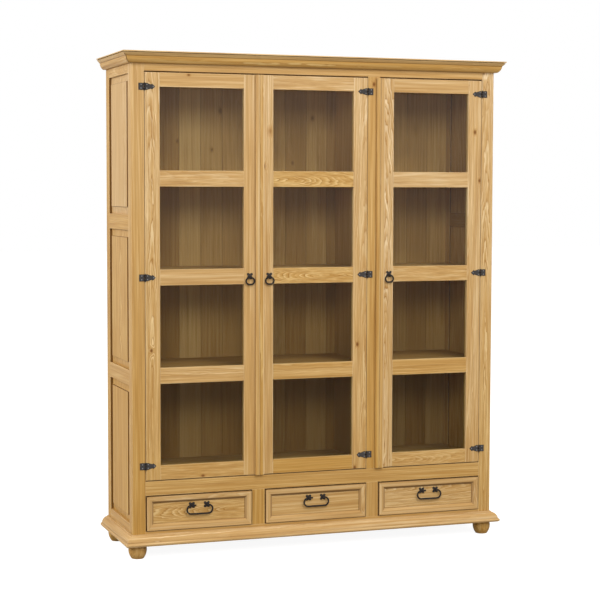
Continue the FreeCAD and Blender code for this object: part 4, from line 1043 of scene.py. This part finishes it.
def rounded_strip(label, span, rounding):
    left, right = span
    left_round, right_round = rounding
    outline = [(left, FRONT)]
    if left_round > right_round:
        slot_face = FRONT - SLOT_WIDTH
        outline = [(left + SLOT_DEPTH, FRONT), (left + SLOT_DEPTH, slot_face), (left, slot_face)]
    outline.append((left, STRIP_FACE + left_round))
    outline += arc((left, STRIP_FACE + left_round), (left + left_round, STRIP_FACE), left_round, 6)
    outline.append((right - right_round, STRIP_FACE))
    outline += arc((right - right_round, STRIP_FACE), (right, STRIP_FACE + right_round), right_round, 6)
    outline.append((right, FRONT))
    low, high = DOOR_LEVEL
    piece = lay_grain(stick([(x, y, low) for x, y in outline], (0, 0, high - low)), label)
    # Painted highlight on the strip's right rounding.
    highlight_from = right - right_round + 0.1
    return mark_rub_and_highlight(piece, lambda place: place[0] > highlight_from and place[1] < STRIP_FACE + right_round)


for label, (span, rounding, body) in STRIPS.items():
    finished(label, [rounded_strip(label, span, rounding)], waxed_pine, body)

# %% [markdown]
# A drawer front is a flat panel with a raised frame mitred round it, flat outside and sloping in. The frame
# is four sticks and not one inset face, so that the grain runs along each stick and turns at the mitres.

# %% The frame of a drawer front
PANEL_FACE = -182
FRAME_FACE = -191
frame_section = [(0, PANEL_FACE), (0, -190.2), (0.8, FRAME_FACE), (16, FRAME_FACE), (17, -190.7),
                 (20, -188.4), (24.5, -184.9), (26, -184), (26, PANEL_FACE)]


def frame_sticks(left, right, bottom, top):
    """The lower, upper, left and right stick of a mitred frame."""
    sticks = []
    for inward, z in ((1, bottom), (-1, top)):
        section = [(left, y, z + inward * across) for across, y in frame_section]
        mitres = (((left, 0, z), (1, 0, -inward)), ((right, 0, z), (-1, 0, -inward)))
        sticks.append(stick(section, (right - left, 0, 0), mitres))
    for inward, x in ((1, left), (-1, right)):
        section = [(x + inward * across, y, bottom) for across, y in frame_section]
        mitres = (((x, 0, bottom), (-inward, 0, 1)), ((x, 0, top), (-inward, 0, -1)))
        sticks.append(stick(section, (0, 0, top - bottom), mitres))
    return sticks


# %% [markdown]
# Painted shade darkens the frame round its edges and on its slopes, most of all on the top slope, which
# faces down. The box behind is four plain boards, a little narrower than the opening so that it slides.

# %% The drawers
PANEL_REAR = -166
FRAME_TINT = 1.15
FRONT_PLAY = 4
SLOPE = (19, 25)
SLOPE_SHADE = (0, 0.88, 0.42, 0.42)
BOX_LEVEL = (107.3, 205.3)
BOX_WALL = 12
BOX_PLAY = 1
BOX_BACK = 174


def make_drawer(number):
    name = f"drawer_{number}"
    low, high = DRAWER_SPANS[number]
    left, right = widened((low, high), -FRONT_PLAY)
    bottom, top = DRAWER_LEVEL
    panel = board(f"{name}_panel", (left, right), (PANEL_FACE, PANEL_REAR), (bottom, top), 0.8)
    finished(f"{name}_front_panel", [panel], waxed_pine, name)
    sticks = frame_sticks(left, right, bottom, top)
    for index, one in enumerate(sticks):
        FIGURES[f"{name}_stick_{index}"] = {"tint": FRAME_TINT}
        lay_grain(one, f"{name}_stick_{index}")
        places = points_of(one) / MM
        edge_gap = np.minimum(np.minimum(places[:, 0] - left, right - places[:, 0]),
                              np.minimum(places[:, 2] - bottom, top - places[:, 2]))
        # Painted shade on the frame's inner and outer sides and on its slopes, most on the top slope, which
        # faces down.
        shade_mask = np.where((places[:, 1] > -184.4) | (edge_gap < 0.1), 1.0, 0.0)
        if SLOPE_SHADE[index]:
            shade_mask[(edge_gap > SLOPE[0]) & (edge_gap < SLOPE[1])] = SLOPE_SHADE[index]
        write(one, "painted_shade", shade_mask)
    finished(f"{name}_front_frame", sticks, waxed_pine, name)
    outer = widened((low, high), -BOX_PLAY)
    inner = widened(outer, -BOX_WALL)
    box_run = (PANEL_REAR, BOX_BACK)
    box = [
        board(f"{name}_side_left", (outer[0], inner[0]), box_run, BOX_LEVEL),
        board(f"{name}_side_right", (inner[1], outer[1]), box_run, BOX_LEVEL),
        board(f"{name}_box_back", inner, (BOX_BACK - BOX_WALL, BOX_BACK), BOX_LEVEL),
        board(f"{name}_bottom", inner, (PANEL_REAR, BOX_BACK - BOX_WALL), (113.3, 119.3), 0.4),
    ]
    finished(f"{name}_box", box, plain_pine, name)


for number in DRAWER_SPANS:
    make_drawer(number)

# %% [markdown]
# The hinges are butterfly hinges: a plain leaf on the frame and a waisted, pointed leaf on the door, with
# knuckles between them. One is modelled at the origin, on a face at Y = 0, and copied later. A leaf is its
# outline, extruded as thick as the sheet it was cut from.

# %% Leaves and knuckles of one hinge
LEAF = 2.0
AXIS_OUT = -3.8
BARREL_RADIUS = 3.3
LEAF_RUB_AND_SHEEN = 0.14
half_arrow = [(3.6, -13), (9, -13), (25.1, -7.5), (29.6, -10.5), (40.6, 0)]
door_leaf_outline = half_arrow + [(x, -z) for x, z in half_arrow[-2::-1]]
frame_leaf_outline = [(-22.6, -13), (-3.6, -13), (-3.6, 13), (-22.6, 13)]


def iron_leaf(outline):
    """A leaf cut from sheet iron, with its front edge filed round."""
    leaf = drawn_line([(x, 0, z) for x, z in outline])
    bpy.ops.mesh.edge_face_add()
    extrude((0, -LEAF, 0))
    face_outwards()
    select_faces(leaf, lambda face: face.normal.y < -0.9)
    bpy.ops.mesh.inset(thickness=0.9 * MM, depth=0)
    bpy.ops.object.mode_set(mode="OBJECT")
    for vertex in leaf.data.vertices:
        on_rim = any(abs(vertex.co.x / MM - x) + abs(vertex.co.z / MM - z) < 0.01 for x, z in outline)
        if vertex.co.y < -0.001 and on_rim:
            vertex.co.y += 0.8 * MM
    # Greyer rub over the leaf's face: real wear and a painted highlight.
    return mark_rub_and_highlight(leaf, lambda place: place[1] < -1.9, LEAF_RUB_AND_SHEEN)


def knuckle(low, high, reach):
    """A length of the hinge's barrel, with the tongue that joins it to its leaf."""
    bpy.ops.object.select_all(action="DESELECT")
    middle = (0, AXIS_OUT * MM, (low + high) / 2 * MM)
    bpy.ops.mesh.primitive_cylinder_add(vertices=20, radius=BARREL_RADIUS * MM, depth=(high - low) * MM,
                                        location=middle)
    barrel = bpy.context.object
    apply_place()
    select_faces(barrel, lambda face: abs(face.normal.z) > 0.9)
    bpy.ops.mesh.bevel(offset=0.5 * MM, segments=2, affect="EDGES")
    bpy.ops.object.mode_set(mode="OBJECT")
    smooth(40)
    # Painted highlight, with some real wear, on the barrel's ends.
    mark_rub_and_highlight(barrel, lambda place: place[2] > high - 0.4 or place[2] < low + 0.4, 0.3)
    tongue = plank(sorted((0, reach)), (-LEAF, -0.5), (low, high), 0.2)
    return [barrel, tongue]


frame_leaf = joined([iron_leaf(frame_leaf_outline)] + knuckle(-13, -4.5, -4) + knuckle(4.5, 13, -4))
door_leaf = joined([iron_leaf(door_leaf_outline)] + knuckle(-4.2, 4.2, 4))
print("hinge leaves:", len(frame_leaf.data.polygons), "and", len(door_leaf.data.polygons), "faces")

# %% [markdown]
# Slotted screws hold the leaves, and a pin with a small cap at each end runs through the knuckles. A
# screw's head is half a ball, flattened, and its slot is cut with a block. The pin is spun from half its
# outline.

# %% Screw and pin of one hinge
TO_THE_FRONT = (math.pi / 2, 0, 0)


def screw_head():
    """A domed head with a slot: half a ball, flattened, with a thin block taken out."""
    bpy.ops.object.select_all(action="DESELECT")
    bpy.ops.mesh.primitive_uv_sphere_add(segments=16, ring_count=10, radius=2.8 * MM,
                                         rotation=TO_THE_FRONT)
    head = bpy.context.object
    head.scale = (1, 1, 0.55)
    apply_place()
    bpy.ops.object.mode_set(mode="EDIT")
    bpy.ops.mesh.select_all(action="SELECT")
    bpy.ops.mesh.bisect(plane_co=(0, 0, 0), plane_no=(0, -1, 0), use_fill=True, clear_inner=True)
    bpy.ops.object.mode_set(mode="OBJECT")
    smooth(40)
    slot = block((-4, 4), (-2.5, -0.8), (-0.4, 0.4))
    cut(head, slot)
    scrap(slot)
    alone(head)
    head.location = (0, -LEAF * MM, 0)
    apply_place()
    # Painted highlight on the screw's dome.
    return mark_rub_and_highlight(head, lambda place: place[1] < -2.8)


screw = screw_head()
half_pin = [(0, -14.6), (1.8, -14.6), (2.4, -14), (2.4, -13), (1.5, -13)]
pin_line = half_pin + [(radius, -height) for radius, height in reversed(half_pin)]
pin = spun([(radius, AXIS_OUT, height) for radius, height in pin_line], (0, AXIS_OUT, 0), (0, 0, 1), 16)
# Painted highlight, with some real wear, on the pin's caps.
mark_rub_and_highlight(pin, lambda place: abs(place[2]) > 14.2, 0.3)
print("screw and pin:", len(screw.data.polygons), "and", len(pin.data.polygons), "faces")

# %% [markdown]
# Each part of the hinge is copied to three levels on each door. The door's leaves and their screws move
# with the door, and the rest stays on the carcass. The doors hung on the right take a mirrored copy, whose
# normals are set right again. The slots of screws stand at any angle, as a joiner leaves them, so a seeded
# draw turns each copy.

# %% Nine hinges
HINGE_AXES = {1: (-689, 1), 2: (201, -1), 3: (689, -1)}
HINGE_LEVELS = (351, 1060, 1769)
FRAME_SCREWS = ((-13.1, -7), (-13.1, 7))
DOOR_SCREWS = ((9, -7), (9, 7), (33.3, 0))
slot_draw = random.Random("screw slots")


def set_hinge_part(part, axis, toward, level):
    twin = copied(part, (axis, FRONT, level), scale=(toward, 1, 1))
    if toward < 0:
        bpy.ops.object.mode_set(mode="EDIT")
        face_outwards()
    return twin


def set_screws(places, axis, toward, level):
    return [copied(screw, (axis + x * toward, FRONT, level + z), turn=(0, slot_draw.uniform(0, 3.1), 0))
            for x, z in places]


frame_leaves = []
frame_screws = []
pins = []
for number, (axis, toward) in HINGE_AXES.items():
    door_leaves = []
    for level in HINGE_LEVELS:
        frame_leaves.append(set_hinge_part(frame_leaf, axis, toward, level))
        pins.append(set_hinge_part(pin, axis, toward, level))
        frame_screws += set_screws(FRAME_SCREWS, axis, toward, level)
        door_leaves.append(set_hinge_part(door_leaf, axis, toward, level))
        door_leaves += set_screws(DOOR_SCREWS, axis, toward, level)
    finished(f"door_{number}_hinge_leaves", door_leaves, black_iron, f"door_{number}")
finished("hinge_frame_leaves", frame_leaves, black_iron)
finished("hinge_screws", frame_screws, black_iron)
finished("hinge_pins", pins, black_iron)
for part in (frame_leaf, door_leaf, screw, pin):
    scrap(part)

# %% [markdown]
# Every pull hangs from a small forged flower with four petals and an eye. The flower starts as a disc whose
# rim is drawn in between the petals. It gets its thickness by an extrude, and two insets with height dome
# it. The eye is a ring spun about the wire that hangs in it.

# %% Rosettes with eyes
PETAL_REACH = 14.5
WAIST_REACH = 6.8


def rosette():
    bpy.ops.object.select_all(action="DESELECT")
    bpy.ops.mesh.primitive_circle_add(vertices=64, radius=MM, fill_type="NGON", rotation=TO_THE_FRONT)
    flower = bpy.context.object
    apply_place()
    for vertex in flower.data.vertices:
        turn = math.atan2(vertex.co.z, vertex.co.x)
        petal = abs(math.sin(2 * turn)) ** 1.1
        vertex.co *= WAIST_REACH + (PETAL_REACH - WAIST_REACH) * petal
    bpy.ops.object.mode_set(mode="EDIT")
    bpy.ops.mesh.select_mode(type="FACE")
    bpy.ops.mesh.select_all(action="SELECT")
    extrude((0, -0.9, 0))
    bpy.ops.mesh.inset(thickness=0.9 * MM, depth=0.9 * MM)
    bpy.ops.mesh.inset(thickness=1.3 * MM, depth=0.6 * MM)
    face_outwards()
    # Painted highlight, with some real wear, on the rosette's dome.
    return mark_rub_and_highlight(flower, lambda place: place[1] < -2.2, 0.1)


def eyed_rosette(out, drop, hole, wall, width):
    """A rosette with its eye: how far out and how far down the wire lies, and the eye's own sizes."""
    half = width / 2
    outline = [(-half, 0, hole), (-half + 0.4, 0, hole + wall), (half - 0.4, 0, hole + wall),
               (half, 0, hole), (-half, 0, hole)]
    eye = spun(outline, (0, 0, 0), (1, 0, 0), 24)
    mark_rub_and_highlight(eye, lambda place: False)
    eye.location = (0, -out * MM, -drop * MM)
    alone(eye)
    apply_place()
    shank = plank((-half + 0.5, half - 0.5), (hole - out + 0.4, -1.5), (-drop - 2, -drop + 2), 0.4)
    return joined([rosette(), eye, shank])


# %% [markdown]
# Each door has one flower for its ring, and each drawer has two for its bail. The eyes are a little wider
# than the wire, so that the pulls swing freely.

# %% Plates of the pulls
PULL_PLACES = {1: -279.5, 2: -201.5, 3: 293}
PULL_LEVEL = 1061
RING_WIRE = 3
RING_OUT = 7
RING_DROP = 6
ring_flower = eyed_rosette(RING_OUT, RING_DROP, RING_WIRE + 0.5, 2.2, 5)
for number, x in PULL_PLACES.items():
    flower = copied(ring_flower, (x, FRONT, PULL_LEVEL))
    finished(f"door_{number}_pull_plate", [flower], black_iron, f"door_{number}")
scrap(ring_flower)

BAIL_LEVEL = 193
BAIL_SPREAD = 29.5
BAIL_WIRE = 3.2
BAIL_OUT = 9
bail_flower = eyed_rosette(BAIL_OUT, 0, BAIL_WIRE + 0.25, 2, 7)
bail_middles = {number: (low + high) / 2 for number, (low, high) in DRAWER_SPANS.items()}
for number, x in bail_middles.items():
    flowers = [copied(bail_flower, (x + side * BAIL_SPREAD, PANEL_FACE, BAIL_LEVEL)) for side in (-1, 1)]
    finished(f"drawer_{number}_pull_plates", flowers, black_iron, f"drawer_{number}")
scrap(bail_flower)

# %% [markdown]
# Rings and bails are bent from round iron. A circle is the wire's section. It is extruded along the
# straight runs and spun half round at the ends, as the smith bends the rod round a former.

# %% Rings and bails
def bent_wire(wire, bend, half_bar, ends=None):
    """A flat oval of wire that hangs below the X axis, closed or with a gap between two ends in its top."""
    left_end, right_end = ends or (0, 0)
    bpy.ops.object.select_all(action="DESELECT")
    fill = "NGON" if ends else "NOTHING"
    bpy.ops.mesh.primitive_circle_add(vertices=14, radius=wire * MM, fill_type=fill,
                                      rotation=(0, math.pi / 2, 0), location=(right_end * MM, 0, 0))
    loop = bpy.context.object
    apply_place()
    bpy.ops.object.mode_set(mode="EDIT")
    bpy.ops.mesh.select_all(action="SELECT")
    for outward in (1, -1):
        start = right_end if outward > 0 else -half_bar
        extrude(((half_bar - start) * outward, 0, 0))
        bpy.ops.mesh.spin(steps=18, angle=-math.pi, axis=(0, 1, 0),
                          center=(half_bar * outward * MM, 0, -bend * MM))
    extrude((half_bar + left_end, 0, 0))
    bpy.ops.mesh.select_all(action="SELECT")
    bpy.ops.mesh.remove_doubles(threshold=DOUBLES)
    face_outwards()
    smooth(40)
    return mark_rub_and_highlight(loop, lambda place: False)


ring = bent_wire(RING_WIRE, 13, 3.5)
for number, x in PULL_PLACES.items():
    hung = copied(ring, (x, FRONT - RING_OUT, PULL_LEVEL - RING_DROP))
    finished(f"door_{number}_pull_ring", [hung], black_iron, f"door_{number}_ring")
scrap(ring)
bail = bent_wire(BAIL_WIRE, 16.4, 33.9, (-14.5, 21))
for number, x in bail_middles.items():
    hung = copied(bail, (x, PANEL_FACE - BAIL_OUT, BAIL_LEVEL))
    finished(f"drawer_{number}_bail", [hung], black_iron, f"drawer_{number}_bail_body")
scrap(bail)

# %% [markdown]
# The cabinet stands on a white studio floor in soft light. The floor and the world are white to the camera,
# and to mirrors and glass, while the light they give to the wood is set on its own, at a plain level.

# %% Floor and world
FLOOR_GLOW = 0.92
AMBIENT = 0.6
scene = bpy.context.scene


def seen_directly(tree):
    """1 for rays from the camera, a mirror or glass, and 0 for light that falls on the object."""
    path = tree.nodes.new("ShaderNodeLightPath")
    first = calc(tree, "MAXIMUM", path.outputs["Is Camera Ray"], path.outputs["Is Glossy Ray"])
    return calc(tree, "MAXIMUM", first, path.outputs["Is Transmission Ray"])


def floor_finish(name):
    material, tree = new_finish(name)
    tree.nodes.clear()
    lit = added(tree, "BsdfDiffuse", {"Color": (0.3, 0.3, 0.3, 1)}).outputs[0]
    strength = calc(tree, "MULTIPLY", seen_directly(tree), FLOOR_GLOW)
    glow = added(tree, "Emission", {"Strength": strength}).outputs[0]
    added(tree, "OutputMaterial", {0: added(tree, "AddShader", {0: lit, 1: glow}).outputs[0]})
    return material


bpy.ops.object.select_all(action="DESELECT")
bpy.ops.mesh.primitive_plane_add(size=60)
floor = bpy.context.object
floor.name = "studio_floor"
floor.data.materials.append(floor_finish("floor_white"))

world = bpy.data.worlds.new("studio")
world.use_nodes = True
scene.world = world
sky = world.node_tree
sky_level = calc(sky, "MULTIPLY_ADD", seen_directly(sky), 1.0 - AMBIENT, AMBIENT)
fed(sky, sky.nodes["Background"], {"Color": (1, 1, 1, 1), "Strength": sky_level})
print("floor and world:", floor.name, world.name)

# %% [markdown]
# Five large, soft lamps light the wood: one high in front, one above the camera, a weak one on the right,
# one at the left side and one behind, for views of the back. They show in no mirror, so the panes stay
# clear.

# %% Lamps
LAMP_TARGET = (0, 0, 1.2)


def soft_lamp(name, place, size, watts):
    """A square lamp that points at the middle of the cabinet and shows in no mirror."""
    lamp = bpy.data.lights.new(name, "AREA")
    lamp.size = size
    lamp.energy = watts
    holder = bpy.data.objects.new(name, lamp)
    scene.collection.objects.link(holder)
    holder.location = place
    holder.visible_glossy = False
    holder.rotation_euler = (Vector(LAMP_TARGET) - Vector(place)).to_track_quat("-Z", "Y").to_euler()


soft_lamp("high_lamp", (0.8, -4.6, 5.4), 2.0, 170)
soft_lamp("front_lamp", (-2.2, -6.2, 3.35), 1.8, 130)
soft_lamp("fill_lamp", (2.6, -3.8, 2.6), 1.6, 29)
soft_lamp("side_lamp", (-4.4, -0.3, 2.6), 1.6, 107)
soft_lamp("back_lamp", (2.8, 4.2, 3.2), 1.8, 70)

# %% [markdown]
# The camera stands where the photograph was taken: in front and to the left, a little above mid height.
# The values were fitted to the cabinet's corners, so that edges in the render fall where the photograph has
# them. The camera looks slightly down and is tilted by a fraction of a degree.

# %% Camera
LOOK_DOWN = 3.84
LOOK_RIGHT = 19.52
TILT = 0.14
camera_data = bpy.data.cameras.new("camera")
camera_data.lens = 98.32
camera_data.sensor_width = 36
camera = bpy.data.objects.new("camera", camera_data)
scene.collection.objects.link(camera)
camera.location = (-2.1815, -6.1238, 1.388)
level_turn = Euler((math.radians(90 - LOOK_DOWN), 0, math.radians(-LOOK_RIGHT))).to_matrix()
camera.rotation_euler = (level_turn @ Matrix.Rotation(math.radians(TILT), 3, "Z")).to_euler()
scene.camera = camera
scene.view_settings.view_transform = "Standard"
print("camera at", [round(value, 3) for value in camera.location])
